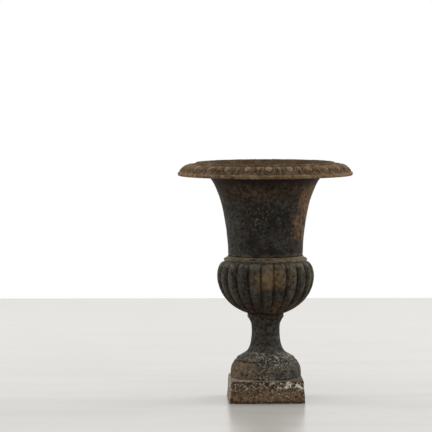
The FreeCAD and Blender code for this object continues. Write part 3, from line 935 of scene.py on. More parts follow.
def bell_iron(colours):
    """Black bell with a rust haze under the rim, rust streaks on its right, pale flecks in front, painted
    light on its lower left and painted shade on its outside just under the rim.
    """
    iron = old_paint("bell iron", colours, 41, WAIST, BELL_HIGH.z, BELL_HIGH.x)
    haze = iron.up.ramp(0.55, 0.87) * iron.blotches(0.060, 43, 0.30, 0.54)
    iron.lay(haze * 0.80, colours.dark_rust)
    iron.lay(haze * iron.blotches(0.018, 39, 0.50, 0.60) * 0.45, colours.rust)
    iron.lay(iron.streaks(0.026, 46, 0.54, 0.68) * 0.6, colours.dark_rust)
    iron.lay(iron.blotches(0.110, 40, 0.46, 0.58) * 0.5, colours.paint)
    reach = iron.up.ramp(0.06, 0.26) * iron.up.ramp(1.07, 0.71)
    streaked = iron.wavering(iron.right, 42, 0.69).ramp(0.30, 0.54) * iron.back.near(-0.22, 0.50)
    streaked = streaked * reach * iron.streaks(0.022, 45, 0.32, 0.50)
    iron.lay(streaked, colours.rust)
    iron.lay(streaked * iron.streaks(0.012, 44, 0.42, 0.58) * 0.8, colours.warm_rust)
    # Painted light: the bell's lower left side lightened in the worn paint colour, where light from the
    # left falls
    painted_light_lower_left = iron.right.ramp(-0.20, -0.50) * iron.up.ramp(0.71, 0.47)
    iron.lay(painted_light_lower_left * 0.6, colours.worn_paint)
    inside = iron.mark("inside")
    iron.lay(inside * iron.blotches(0.040, 49, 0.30, 0.60), colours.dark_rust)
    iron.weather(colours, 50, dirt=0.95, dust=0.28)
    speckled = iron.right.near(-0.10, 0.27) * iron.up.near(0.51, 0.30)
    speckled = speckled.most(iron.blotches(0.070, 47, 0.46, 0.60) * 0.3)
    iron.lay(iron.flecks(0.0075, 48, 0.55, 0.60) * speckled * 0.85, colours.dust)
    iron.pits(38, 0.75, colours.dirt)
    foot = iron.up.ramp(0.045, 0.012) * iron.blotches(0.024, 66, 0.45, 0.60)
    iron.lay(foot * 0.5, colours.rust)
    # Painted shade: the outside of the bell darkened just under the rim, in the dark dirt colour
    iron.lay(iron.up.ramp(0.79, 0.95) * inside.inverse() * 0.95, colours.dirt)
    return iron.done(50, rough=(0.50, 0.75), specular=0.12, relief=0.0010)


def bowl_iron(colours):
    """Black lobes with grooves darkened partly by grime and partly as painted shade, crests paled partly
    by wear and partly as painted highlight, painted light over the lobes' tops, ochre stains in front and
    a grey-brown band.
    """
    iron = old_paint("bowl iron", colours, 51, STEM_HIGH.z, WAIST, BOWL_HIGH.y)
    # Crests paled partly by wear and partly as painted highlight
    iron.lay(iron.mark("crest") * iron.blotches(0.026, 53, 0.32, 0.58) * 0.30, colours.dust)
    iron.lay(iron.blotches(0.055, 54, 0.44, 0.60) * 0.5, colours.moss)
    iron.lay(iron.right.near(-0.43, 0.28) * iron.back.ramp(-0.21, -0.49) * 0.65, colours.paint)
    stained = iron.right.near(0.07, 0.56) * iron.up.near(0.66, 0.31) * iron.back.ramp(0.14, -0.42)
    iron.lay(stained * iron.blotches(0.022, 55, 0.30, 0.52) * 0.75, colours.rust)
    iron.lay(stained * iron.blotches(0.017, 56, 0.46, 0.60) * 0.8, colours.ochre)
    low = iron.up.ramp(0.41, 0.11)
    iron.lay(low * 0.4, colours.dirt)
    iron.lay(low * iron.blotches(0.018, 57, 0.44, 0.58) * 0.75, colours.dark_rust)
    low_right = low * iron.right.near(0.245, 0.42)
    iron.lay(low_right * iron.blotches(0.012, 64, 0.46, 0.60) * 0.6, colours.rust)
    # Painted light: the lobes' upper ends, the notch above them and the band lightened in the dust colour
    iron.lay(iron.up.ramp(0.79, 0.86) * iron.blotches(0.020, 63, 0.28, 0.50) * 0.45, colours.dust)
    # Grooves darkened partly by grime and partly as painted shade
    iron.lay(iron.mark("hollow") * (low * 0.15 + 0.80 - stained * 0.45), colours.dirt)
    band = iron.mark("band")
    iron.lay(band * 0.85, colours.moss)
    band_right = band * iron.right.ramp(-0.42, 0.28)
    iron.lay(band_right * iron.blotches(0.030, 58, 0.30, 0.50) * 0.6, colours.rust)
    iron.lay(band * iron.blotches(0.014, 59, 0.42, 0.60) * 0.75, colours.dust)
    line = iron.up.near(1.0, 0.021) * iron.blotches(0.045, 60, 0.46, 0.58)
    iron.lay(line * 0.40, colours.warm_rust)
    iron.lay(iron.mark("inside") * iron.blotches(0.040, 61, 0.30, 0.60), colours.dark_rust)
    iron.weather(colours, 62, dirt=0.75, dust=0.36)
    return iron.done(62, rough=(0.55, 0.80), specular=0.11, relief=0.0012)


def stem_iron(colours):
    """Black stem that greys towards its shoulder, with chalk specks and an ochre left side on the dome."""
    iron = old_paint("stem iron", colours, 71, STEM_LOW.z, STEM_HIGH.z, STEM_HIGH.x)
    iron.lay(iron.up.ramp(0.97, 0.70) * 0.65, colours.worn_paint)
    lower = iron.up.ramp(0.54, 0.25)
    iron.lay(lower * iron.blotches(0.022, 73, 0.40, 0.62) * 0.50, colours.dust)
    sway = 1.35
    left = iron.wavering(iron.right, 72, sway).ramp(0.10, -0.67) * iron.up.ramp(0.32, 0.235)
    iron.lay(left * iron.blotches(0.022, 74, 0.32, 0.56) * 0.65, colours.rust)
    iron.lay(left * iron.blotches(0.014, 75, 0.48, 0.62) * 0.5, colours.ochre)
    iron.lay(iron.blotches(0.024, 76, 0.54, 0.66) * 0.6, colours.dark_rust)
    step = iron.up.near(0.268, 0.016)
    iron.lay(step * iron.blotches(0.020, 79, 0.26, 0.46) * 0.9, colours.dirt)
    iron.lay(iron.up.ramp(0.87, 0.95) * 0.45, colours.dark_rust)
    iron.weather(colours, 80, dirt=0.85, dust=0.50)
    iron.pits(70, 0.7, colours.dirt)
    shoulder = iron.up.near(0.34, 0.106) * iron.wavering(iron.right, 67, sway).ramp(-1.06, 0.19)
    front = iron.up.ramp(0.305, 0.225) * iron.wavering(iron.right, 68, sway).near(0.14, 0.82)
    chalky = (shoulder + front * 0.7) * iron.blotches(0.045, 77, 0.30, 0.50)
    iron.lay(iron.flecks(0.0058, 78, 0.54, 0.60) * chalky * 0.60, colours.chalk)
    return iron.done(80, rough=(0.55, 0.82), specular=0.11, relief=0.0012)


def plinth_iron(colours):
    """Rust-brown plinth with a dark upper band, ragged off-white flakes, painted light on its left face, a
    painted highlight along the top edge left of the middle and painted contact shadow mixed with dark rust
    at the foot.
    """
    iron = Finish("plinth iron", colours.rust, PLINTH_LOW.z, BED_LOW.z, PLINTH_HIGH.x)
    iron.lay(iron.blotches(0.022, 81, 0.44, 0.66) * 0.8, colours.dark_rust)
    iron.lay(iron.blotches(0.012, 82, 0.52, 0.66) * 0.5, colours.warm_rust)
    iron.lay(iron.blotches(0.015, 83, 0.50, 0.64) * 0.5, colours.dust)
    dark_top = iron.up.ramp(0.42, 0.76) * iron.blotches(0.020, 84, 0.34, 0.58)
    iron.lay(dark_top * 0.65, colours.paint)
    iron.lay(iron.mark("worn") * 0.6, colours.tan)
    iron.lay(iron.mark("broken") * 0.8, colours.dark_rust)
    # Darker at the foot: partly dark rust, partly painted contact shadow
    iron.lay(iron.up.ramp(0.18, 0.03) * 0.90, colours.dark_rust)
    # Painted light: the left face lightened in the tan colour, as a lit side
    left = iron.right.ramp(-0.937, -0.964)
    iron.lay(left * iron.blotches(0.028, 88, 0.20, 0.50) * 0.90, colours.tan)
    iron.weather(colours, 89, dirt=0.80, dust=0.45)
    strewn = iron.up.ramp(0.06, 0.52) * 0.28 + 0.18
    iron.lay(iron.flecks(0.0060, 87, 0.55, 0.60) * strewn, colours.chalk)
    iron.pits(98, 0.85, colours.dirt)
    high = iron.up.ramp(0.545, 0.70) * iron.up.ramp(1.0, 0.91)
    bold = iron.right.ramp(0.0, 0.405) * iron.back.ramp(-0.77, -0.93)
    patchy = (iron.blotches(0.034, 85, 0.44, 0.58) * 0.7).most(bold)
    iron.lay(iron.flecks(0.0105, 86, 0.53, 0.57) * high * patchy, colours.chalk)
    # Painted highlight along the top edge, left of the middle, in the putty colour
    arris_highlight = iron.up.near(0.992, 0.024) * iron.blotches(0.034, 90, 0.40, 0.55)
    iron.lay(arris_highlight * iron.right.ramp(0.54, -0.18) * 0.6, colours.putty)
    return iron.done(89, rough=(0.65, 0.90), specular=0.10, relief=0.0014)


def putty(colours):
    """Pale putty, greyed and stained by rust."""
    bed = Finish("putty", colours.putty)
    bed.lay(bed.blotches(0.030, 91, 0.46, 0.60), colours.rust)
    bed.lay(bed.blotches(0.050, 92, 0.48, 0.60) * 0.8, colours.moss)
    bed.weather(colours, 93, dirt=0.40, dust=0.20)
    return bed.done(93, rough=(0.80, 0.95), specular=0.15, relief=0.0008)


def rusted_steel(colours):
    """Steel fasteners gone brown."""
    steel = Finish("rusted steel", colours.dark_rust)
    steel.lay(steel.blotches(0.008, 95, 0.40, 0.62), colours.rust)
    steel.lay(steel.blotches(0.004, 96, 0.52, 0.64) * 0.8, colours.warm_rust)
    return steel.done(97, rough=(0.55, 0.85), specular=0.35, relief=0.0005)


def shared_material(make, colours):
    """The material of that finish, made once."""
    name = make.__name__.replace("_", " ")
    return bpy.data.materials.get(name) or make(colours)


# Pieces

def cast(context, part, outline, ring, tree, finish, *groups, **values):
    """Makes one casting in its finish, in place of the packed model's own."""
    scene = context.scene
    name = "urn_" + part
    piece = new_piece(name, turned_mesh(name, outline, ring))
    plain_shape(piece, tree, scene.urn_skin, *groups, **values,
                material=shared_material(finish, scene.urn_colours))
    declare(piece, "iron_" + part, part)


class URN_OT_rim(bpy.types.Operator):
    """Overturned rim with its lip, egg-and-dart ovolo and fascia"""
    bl_idname = "urn.rim"
    bl_label = "Rim"

    def execute(self, context):
        size = context.scene.urn_rim
        ring = circular(size.egg_count * size.steps_per_egg)
        cast(context, "rim", self.outline(size), ring, egg_and_dart_tree(), rim_iron, size)
        return {"FINISHED"}

    def outline(self, size):
        path = Outline("ovolo", "skin", "edge", "inside")
        seat = (size.bore, BELL_HIGH.z)
        top = RIM_HIGH.z
        lip_foot = top - size.lip_rise
        lip_inner = size.bore + size.flare
        lip_outer = lip_inner + size.lip_width
        ovolo_start = lip_outer + size.groove_width
        ovolo_top = top - size.ovolo_drop
        fascia_top = ovolo_top - size.ovolo_height
        fascia_foot = RIM_LOW.z
        reach = RIM_HIGH.x
        flare_top = (lip_inner, lip_foot)
        path.curve([seat, between(seat, flare_top, 0.45, 0.55), flare_top], 7, skin=1.0, inside=1.0)
        path.ellipse((lip_inner + size.lip_width / 2, lip_foot), size.lip_width / 2, size.lip_rise,
                     180, 0, 10, skin=1.0, edge=0.4)
        groove = (lip_outer + size.groove_width / 2, ovolo_top - size.groove_depth)
        path.straight((lip_outer, lip_foot), groove, 4, skin=1.0)
        path.straight(groove, (ovolo_start, ovolo_top), 2, skin=1.0)
        rise = size.ovolo_tuck + size.ovolo_height
        low_angle = math.degrees(math.asin(size.ovolo_tuck / rise))
        width = size.ovolo_width / math.cos(math.radians(low_angle))
        path.ellipse((ovolo_start, fascia_top - size.ovolo_tuck), width, rise, 90, low_angle, 46, skin=1.0,
                     mark=lambda turn, radius: {
                         "ovolo": (90 - math.degrees(turn)) / (90 - low_angle)})
        edge = reach - size.fascia_bevel
        path.straight((ovolo_start + size.ovolo_width, fascia_top), (edge, fascia_top), 4, skin=1.0)
        path.straight((edge, fascia_top), (reach, fascia_top - size.fascia_bevel), 2, skin=1.0, edge=1.0)
        path.straight((reach, fascia_top - size.fascia_bevel), (reach, fascia_foot + size.fascia_bevel),
                      7, skin=0.6)
        path.straight((reach, fascia_foot + size.fascia_bevel), (edge, fascia_foot), 2, skin=0.6, edge=1.0)
        channel = reach - size.fascia_wall
        flange = BELL_HIGH.x
        path.straight((edge, fascia_foot), (channel, fascia_foot), 4)
        path.straight((channel, fascia_foot), (channel, fascia_top - size.shell), 2, skin=0.5)
        hollow_foot = fascia_top - size.shell
        path.ellipse((flange, hollow_foot), channel - flange, size.ovolo_height, 0, 90, 14, skin=0.5)
        path.straight((flange, hollow_foot + size.ovolo_height), (flange, BELL_HIGH.z), 4)
        path.straight((flange, BELL_HIGH.z), seat, 4)
        path.soften(1)
        return path


class URN_OT_bell(bpy.types.Operator):
    """Flared bell with its flanges"""
    bl_idname = "urn.bell"
    bl_label = "Bell"

    def execute(self, context):
        size = context.scene.urn_bell
        tree = cast_tree("bell casting", 13)
        cast(context, "bell", self.outline(size), circular(size.steps), tree, bell_iron)
        return {"FINISHED"}

    def flared(self, foot, mouth):
        """The bell's line from the waist up to the mouth."""
        shares = [(0.0, 0.0), (0.02, 0.15), (0.08, 0.30), (0.168, 0.45),
                  (0.282, 0.60), (0.41, 0.72), (0.69, 0.89), (1.0, 1.0)]
        return [between(foot, mouth, out, up) for out, up in shares]

    def outline(self, size):
        path = Outline("skin", "edge", "inside")
        flange_foot = BELL_HIGH.z - size.top_flange
        reach = BELL_HIGH.x
        mouth = size.mouth_radius - size.wall + size.mouth_flare
        inner_foot = size.foot_radius - size.wall
        bore = size.spigot_radius - size.spigot_wall
        floor = WAIST + size.foot_flange
        path.curve(self.flared((size.foot_radius, WAIST), (size.mouth_radius, flange_foot)), 14, skin=1.0)
        path.straight((size.mouth_radius, flange_foot), (reach, flange_foot), 12, skin=0.5)
        path.straight((reach, flange_foot), (reach, BELL_HIGH.z), 3)
        path.straight((reach, BELL_HIGH.z), (mouth, BELL_HIGH.z), 4)
        inner = self.flared((inner_foot, WAIST), (mouth, BELL_HIGH.z))
        inner = [(inner_foot, floor), *inner[1:]]
        path.curve(inner[::-1], 7, skin=0.8, inside=1.0)
        path.straight((inner_foot, floor), (bore, floor), 14, skin=0.6, inside=1.0)
        path.straight((bore, floor), (bore, BELL_LOW.z), 5, inside=1.0)
        path.straight((bore, BELL_LOW.z), (size.spigot_radius, BELL_LOW.z), 3, inside=1.0)
        path.straight((size.spigot_radius, BELL_LOW.z), (size.spigot_radius, WAIST), 3, inside=1.0)
        path.straight((size.spigot_radius, WAIST), (size.foot_radius, WAIST), 8, inside=1.0)
        path.soften(1)
        return path


class URN_OT_bowl(bpy.types.Operator):
    """Lobed bowl with the waist band and drained floor"""
    bl_idname = "urn.bowl"
    bl_label = "Bowl"

    def execute(self, context):
        size = context.scene.urn_bowl
        ring = circular(size.lobe_count * size.steps_per_lobe)
        cast(context, "bowl", self.outline(size), ring, lobed_bowl_tree(), bowl_iron, size,
             drill_level=STEM_HIGH.z, drill_depth=4 * size.floor_thickness)
        return {"FINISHED"}

    def outline(self, size):
        path = Outline("lobe", "skin", "edge", "band", "inside")
        seat = STEM_HIGH.z
        crest = seat + size.crest_height
        seat_share = size.seat_radius / size.crest_radius
        low_height = size.crest_height / math.sqrt(1 - seat_share ** 2)
        low_angle = -math.degrees(math.acos(seat_share))
        path.ellipse((0.0, crest), size.crest_radius, low_height, low_angle, 0, 58, skin=1.0,
                     mark=lambda turn, radius: {"lobe": radius / size.crest_radius})
        lobe_top = crest + size.lobe_upper_height
        path.ellipse((size.lobe_top_radius, crest), size.crest_radius - size.lobe_top_radius,
                     size.lobe_upper_height, 0, 90, 26, skin=1.0,
                     mark=lambda turn, radius: {
                         "lobe": size.lobe_end + (1 - size.lobe_end) * math.cos(turn) ** size.lobe_fade})
        self.band(path, size, lobe_top)
        self.inner_face(path, size, crest, lobe_top)
        path.soften(1)
        return path

    def band(self, path, size, lobe_top):
        """Neck, bead and cove above the lobes."""
        bead_foot = lobe_top + size.lobe_gap
        path.straight((size.lobe_top_radius, lobe_top), (size.neck_radius, lobe_top), 2, skin=0.5)
        path.straight((size.neck_radius, lobe_top), (size.neck_radius, bead_foot), 2)
        half = size.bead_height / 2
        path.ellipse((size.bead_edge, bead_foot + half), size.bead_depth, half, -90, 90, 12,
                     skin=0.8, edge=0.3, band=1.0)
        cove_foot = (size.bead_edge, bead_foot + size.bead_height)
        cove_top = (size.band_top, WAIST)
        path.curve([cove_foot, between(cove_foot, cove_top, 0.67, 0.45), cove_top], 5, skin=0.8, band=1.0)
        path.straight(cove_top, (size.opening_radius, WAIST), 8, inside=1.0)

    def inner_face(self, path, size, crest, lobe_top):
        """Flange, cavity, floor and spigot."""
        flange_foot = WAIST - size.flange
        floor = STEM_HIGH.z + size.floor_thickness
        throat = lobe_top - (size.crest_radius - size.lobe_depth - size.inner_radius)
        path.straight((size.opening_radius, WAIST), (size.opening_radius, flange_foot), 3, inside=1.0)
        path.straight((size.opening_radius, flange_foot), (size.throat_radius, flange_foot), 6, inside=1.0)
        path.straight((size.throat_radius, flange_foot), (size.throat_radius, throat), 3, inside=1.0)
        path.ellipse((size.throat_radius, crest), size.inner_radius - size.throat_radius, throat - crest,
                     90, 0, 8, inside=1.0, skin=0.6)
        floor_share = size.floor_radius / size.inner_radius
        low_height = (crest - floor) / math.sqrt(1 - floor_share ** 2)
        low_angle = -math.degrees(math.acos(floor_share))
        path.ellipse((0.0, crest), size.inner_radius, low_height, 0, low_angle, 18, inside=1.0, skin=0.6)
        path.straight((size.floor_radius, floor), (size.rod_hole, floor), 14, inside=1.0, skin=0.6)
        path.straight((size.rod_hole, floor), (size.rod_hole, BOWL_LOW.z), 5, inside=1.0)
        path.straight((size.rod_hole, BOWL_LOW.z), (size.spigot_radius, BOWL_LOW.z), 6, inside=1.0)
        path.straight((size.spigot_radius, BOWL_LOW.z), (size.spigot_radius, STEM_HIGH.z), 3, inside=1.0)
        path.straight((size.spigot_radius, STEM_HIGH.z), (size.seat_radius, STEM_HIGH.z), 5)


class URN_OT_stem(bpy.types.Operator):
    """Waisted stem with its collar, shoulder and dome"""
    bl_idname = "urn.stem"
    bl_label = "Stem"

    def execute(self, context):
        size = context.scene.urn_stem
        tree = cast_tree("stem casting", 17)
        cast(context, "stem", self.outline(size), circular(size.steps), tree, stem_iron)
        return {"FINISHED"}

    def cove(self, shoulder, neck):
        """The long hollow line from the shoulder up to the neck."""
        shares = [(0.0, 0.0), (0.52, 0.165), (0.80, 0.39), (0.95, 0.71), (1.0, 1.0)]
        return [between(shoulder, neck, along, up) for along, up in shares]

    def outline(self, size):
        path = Outline("skin", "edge", "inside")
        base, top, reach = STEM_LOW.z, STEM_HIGH.z, STEM_HIGH.x
        dome_top = base + size.dome_height
        dome_foot, dome_edge = (reach, base), (size.dome_top_radius, dome_top)
        shoulder_foot = (size.dome_top_radius - size.dome_step, dome_top)
        shoulder_top = (size.shoulder_radius, dome_top + size.shoulder_height)
        neck_foot = (size.neck_radius, shoulder_top[1] + size.foot_cove)
        neck_top = (size.neck_radius, neck_foot[1] + size.neck_height)
        collar_foot = top - size.collar_height
        slope_foot = (size.collar_radius - size.collar_slope, collar_foot - size.collar_slope)
        path.curve([dome_foot, between(dome_foot, dome_edge, 0.21, 0.60), dome_edge], 16, skin=1.0)
        path.straight(dome_edge, shoulder_foot, 2, skin=0.6)
        shoulder_middle = between(shoulder_foot, shoulder_top, 0.30, 0.57)
        path.curve([shoulder_foot, shoulder_middle, shoulder_top], 7, skin=1.0)
        path.curve(self.cove(shoulder_top, neck_foot), 10, skin=1.0)
        path.straight(neck_foot, neck_top, 8, skin=1.0)
        path.curve([neck_top, between(neck_top, slope_foot, 0.22, 0.45), slope_foot], 6, skin=1.0)
        path.straight(slope_foot, (size.collar_radius, collar_foot), 2, skin=0.8)
        path.straight((size.collar_radius, collar_foot), (size.collar_radius, top), 6, skin=0.8)
        bore = size.neck_radius - size.wall
        foot_bore = reach - size.wall
        path.straight((size.collar_radius, top), (bore, top), 5)
        path.straight((bore, top), (bore, neck_foot[1]), 8, inside=1.0)
        inner_shoulder = (size.shoulder_radius - size.wall, shoulder_top[1] - size.wall)
        path.curve(self.cove(inner_shoulder, (bore, neck_foot[1]))[::-1], 4, inside=1.0)
        bulge = (size.dome_top_radius - size.wall, dome_top - size.wall)
        wall_top = (foot_bore, base + size.dome_height / 2)
        path.curve([inner_shoulder, bulge, wall_top], 5, inside=1.0)
        path.straight(wall_top, (foot_bore, base), 5, inside=1.0)
        path.straight((foot_bore, base), dome_foot, 4)
        path.soften(1)
        return path


class URN_OT_plinth(bpy.types.Operator):
    """Square plinth, hollow below, with worn edges"""
    bl_idname = "urn.plinth"
    bl_label = "Plinth"

    def execute(self, context):
        size = context.scene.urn_plinth
        outline = self.outline(size)
        ring = square_ring(outline, size.corner_radius, size.side_steps, size.corner_steps)
        cast(context, "plinth", outline, ring, self.tree(), plinth_iron, size,
             corner=Vector((PLINTH_HIGH.x, PLINTH_LOW.y, PLINTH_LOW.z)),
             break_way=Vector(size.break_way).normalized())
        return {"FINISHED"}

    def tree(self):
        """Casting skin and one corner broken off at the foot."""
        shape = ShapeTree("plinth casting", ["Break depth", "Ragged size", *SKIN],
                          vectors=["Corner", "Break way"])
        shape.cast_skin(19, 0.0)
        away = vector_math(shape.place(), "SUBTRACT", shape.value("Corner"))
        node = shape.tree.nodes.new("ShaderNodeVectorMath")
        node.operation = "DOT_PRODUCT"
        put(shape.tree, node.inputs[0], away)
        put(shape.tree, node.inputs[1], shape.value("Break way"))
        ragged = noise(shape.place(), shape.value("Ragged size"), 20, 3.0) * 0.6 + 0.7
        beyond = Field(shape.tree, node.outputs["Value"]) + shape.value("Break depth") * ragged
        border = 0.001
        shape.keep("broken", beyond.ramp(0.0, border))
        shape.push(vector_math(shape.value("Break way"), "SCALE", -beyond.most(0.0)))
        return shape.close()

    def outline(self, size):
        path = Outline("square", "skin", "edge")
        foot, top = PLINTH_LOW.z, BED_LOW.z
        reach = PLINTH_HIGH.x
        bevel_level = top - size.bevel
        bevel_half = reach + (size.top_half - reach) * (bevel_level - foot) / (top - foot)
        plate_foot = top - size.plate
        inner_top = reach - size.wall + (size.top_half - reach) * (plate_foot - foot) / (top - foot)
        register_bore = size.register_radius - size.register_wall
        bevel_foot, bevel_top = (bevel_half, bevel_level), (bevel_half - size.bevel, top)
        path.straight((reach, foot), (reach, foot + size.bevel), 2, square=1.0)
        path.straight((reach, foot + size.bevel), bevel_foot, 38, square=1.0, skin=1.0)
        path.straight(bevel_foot, bevel_top, 2, square=1.0, skin=1.0, edge=1.0)
        path.straight(bevel_top, (size.register_radius + size.wall, top), 3, square=1.0, skin=0.5)
        path.chain([(size.register_radius, top), (size.register_radius, PLINTH_HIGH.z),
                    (register_bore, PLINTH_HIGH.z), (register_bore, top), (size.hole_radius, top),
                    (size.hole_radius, plate_foot), (inner_top - size.wall, plate_foot)], 3)
        path.straight((inner_top, plate_foot), (reach - size.wall, foot), 10, square=1.0, skin=0.5)
        path.straight((reach - size.wall, foot), (reach, foot), 4, square=1.0)
        return path


class URN_OT_bedding(bpy.types.Operator):
    """Ragged ring of putty between plinth and stem"""
    bl_idname = "urn.bedding"
    bl_label = "Putty bed"

    def execute(self, context):
        scene = context.scene
        mesh = turned_mesh("urn_putty_bed", self.outline(scene.urn_plinth.register_radius),
                           circular(scene.urn_stem.steps))
        piece = new_piece("urn_putty_bed", mesh)
        plain_shape(piece, self.tree(), scene.urn_skin, material=shared_material(putty, scene.urn_colours))
        declare(piece, "lime_putty", "plinth_bedding")
        return {"FINISHED"}

    def outline(self, inner):
        """Flat ring whose free edge is marked, from the register out."""
        path = Outline("edge")
        reach = BED_HIGH.x
        for height, shares in ((BED_LOW.z, spread(0.0, 1.0, 6)), (BED_HIGH.z, spread(1.0, 0.0, 6))):
            for free in shares:
                path.add(inner + (reach - inner) * free, height, edge=free)
        return path

    def tree(self):
        """Squeezes the free edge in here and there, as deep as a chip."""
        shape = ShapeTree("ragged putty", ["Chip", "Ragged size"])
        squeezed = noise(shape.place(), shape.value("Ragged size"), 29, 4.0).ramp(0.35, 0.65)
        shape.push_outwards(-squeezed * shape.mark("edge") * shape.value("Chip"))
        return shape.close()


# Shares of a fastener's half side, and of the radius of a shank or rod
CHAMFER = 1 / 6
CORE = 1 / 12


def washer_mesh(size, bore, radius, thickness):
    """Flat round washer with rubbed edges."""
    outline = Outline("skin")
    outline.chain([(bore, 0.0), (radius, 0.0), (radius, thickness), (bore, thickness), (bore, 0.0)], 3)
    outline.soften(1)
    return turned_mesh("washer", outline, circular(size.washer_steps))


def nut_mesh(size, half, bore, height):
    """Square nut with its upper corners rubbed down."""
    outline = Outline("square", "skin")
    chamfer = half * CHAMFER
    outline.chain([(bore, 0.0), (half, 0.0)], 3, square=1.0)
    outline.chain([(half, 0.0), (half, height - chamfer), (half - chamfer / 2, height)], 3, square=1.0)
    outline.chain([(half - chamfer / 2, height), (bore, height)], 3, square=0.85)
    outline.chain([(bore, height), (bore, 0.0)], 4)
    for number, (radius, _) in enumerate(outline.points):
        if radius <= bore:
            outline.marks["square"][number] = 0.0
    ring = square_ring(outline, chamfer / 2, size.side_steps, size.corner_steps)
    return turned_mesh("nut", outline, ring)


def bolt_mesh(size, length_over_all):
    """Square head with a round shank standing on it."""
    outline = Outline("square", "skin")
    radius, half, head_height = size.bolt_radius, size.head_half, size.head_height
    core = radius * CORE
    chamfer = half * CHAMFER
    outline.chain([(core, 0.0), (half - chamfer, 0.0), (half, chamfer), (half, head_height),
                   (radius + chamfer / 2, head_height)], 3, square=1.0)
    outline.chain([(radius, head_height), (radius, length_over_all - chamfer),
                   (radius - chamfer, length_over_all), (core, length_over_all), (core, 0.0)], 6)
    ring = square_ring(outline, chamfer / 2, size.side_steps, size.corner_steps)
    return turned_mesh("bolt", outline, ring)


def lifted(mesh, height):
    mesh.transform(Matrix.Translation((0.0, 0.0, height)))
    return mesh


def joined(name, *meshes):
    """One mesh from several."""
    shape = bmesh.new()
    for mesh in meshes:
        shape.from_mesh(mesh)
        bpy.data.meshes.remove(mesh)
    whole = bpy.data.meshes.new(name)
    shape.to_mesh(whole)
    shape.free()
    return whole


class URN_OT_bolts(bpy.types.Operator):
    """Bolts, washers and nuts at the rim and waist"""
    bl_idname = "urn.bolts"
    bl_label = "Bolts"

    def execute(self, context):
        size = context.scene.urn_fasteners
        self.material = shared_material(rusted_steel, context.scene.urn_colours)
        self.tree = fastener_ring_tree()
        for node in ("rim_bolts", "waist_bolts"):
            self.bolt_ring(size, node)
        for node in ("rim_washers", "waist_washers"):
            self.washer_ring(size, node)
        self.nut_ring(size)
        return {"FINISHED"}

    def ring(self, size, node, mesh, margin, twist, seed):
        """Puts copies of one fastener where the node has its own."""
        low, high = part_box(node)
        piece = new_piece("urn_" + node, mesh)
        plain_shape(piece, self.tree, size, circle=high.x - margin, level=low.z, twist=twist, seed=seed,
                    material=self.material)
        declare(piece, "rusted_steel", node)

    def bolt_ring(self, size, node):
        """Rim bolts point up from below, waist bolts point down from above."""
        low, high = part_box(node)
        mesh = bolt_mesh(size, high.z - low.z)
        if node == "waist_bolts":
            mesh.transform(Matrix.Rotation(math.pi, 4, "X"))
            lifted(mesh, high.z - low.z)
        self.ring(size, node, mesh, margin=size.head_half, twist=size.twist, seed=5)

    def washer_ring(self, size, node):
        """Washers lie under the heads, and a second one on the far side where the node has room for it."""
        low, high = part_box(node)
        measures = (size.hole_radius, size.washer_radius, size.washer_thickness)
        mesh = washer_mesh(size, *measures)
        spare = high.z - low.z - size.washer_thickness
        if spare > size.washer_thickness:
            mesh = joined("washers", mesh, lifted(washer_mesh(size, *measures), spare))
        self.ring(size, node, mesh, margin=size.washer_radius, twist=0.0, seed=6)

    def nut_ring(self, size):
        low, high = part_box("waist_nuts")
        mesh = nut_mesh(size, size.head_half, size.bolt_radius, high.z - low.z)
        self.ring(size, "waist_nuts", mesh, margin=size.head_half, twist=size.twist, seed=7)


class URN_OT_tie_rod(bpy.types.Operator):
    """Tie rod with its nuts, washers and bar"""
    bl_idname = "urn.tie_rod"
    bl_label = "Tie rod"

    def execute(self, context):
        size = context.scene.urn_fasteners
        self.material = shared_material(rusted_steel, context.scene.urn_colours)
        self.threaded_rod(size)
        for end in ("top", "bottom"):
            self.nut(size, "tie_rod_" + end + "_nut")
            self.washer(size, "tie_rod_" + end + "_washer")
        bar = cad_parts["bridge_bar"]
        for slot in bar.material_slots:
            slot.material = self.material
        return {"FINISHED"}

    def place(self, node, mesh, level):
        mesh.materials.append(self.material)
        declare(new_piece("urn_" + node, lifted(mesh, level)), "rusted_steel", node)

    def threaded_rod(self, size):
        low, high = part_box("tie_rod")
        outline = Outline("skin")
        radius = size.rod_radius
        chamfer = size.thread_depth
        core = radius * CORE
        steps = int((high.z - low.z) / size.thread_pitch * size.thread_steps)
        outline.straight((radius, low.z + chamfer), (radius, high.z - chamfer), steps, skin=1.0)
        outline.straight((radius, high.z - chamfer), (radius - chamfer, high.z), 2)
        outline.chain([(radius - chamfer, high.z), (core, high.z), (core, low.z),
                       (radius - chamfer, low.z)], 3)
        outline.straight((radius - chamfer, low.z), (radius, low.z + chamfer), 2)
        piece = new_piece("urn_tie_rod", turned_mesh("urn_tie_rod", outline, circular(size.rod_steps)))
        plain_shape(piece, thread_tree(), size, material=self.material)
        declare(piece, "rusted_steel", "tie_rod")

    def nut(self, size, node):
        low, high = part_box(node)
        self.place(node, nut_mesh(size, high.x, size.rod_radius, high.z - low.z), low.z)

    def washer(self, size, node):
        low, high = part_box(node)
        self.place(node, washer_mesh(size, size.rod_hole, high.x, high.z - low.z), low.z)


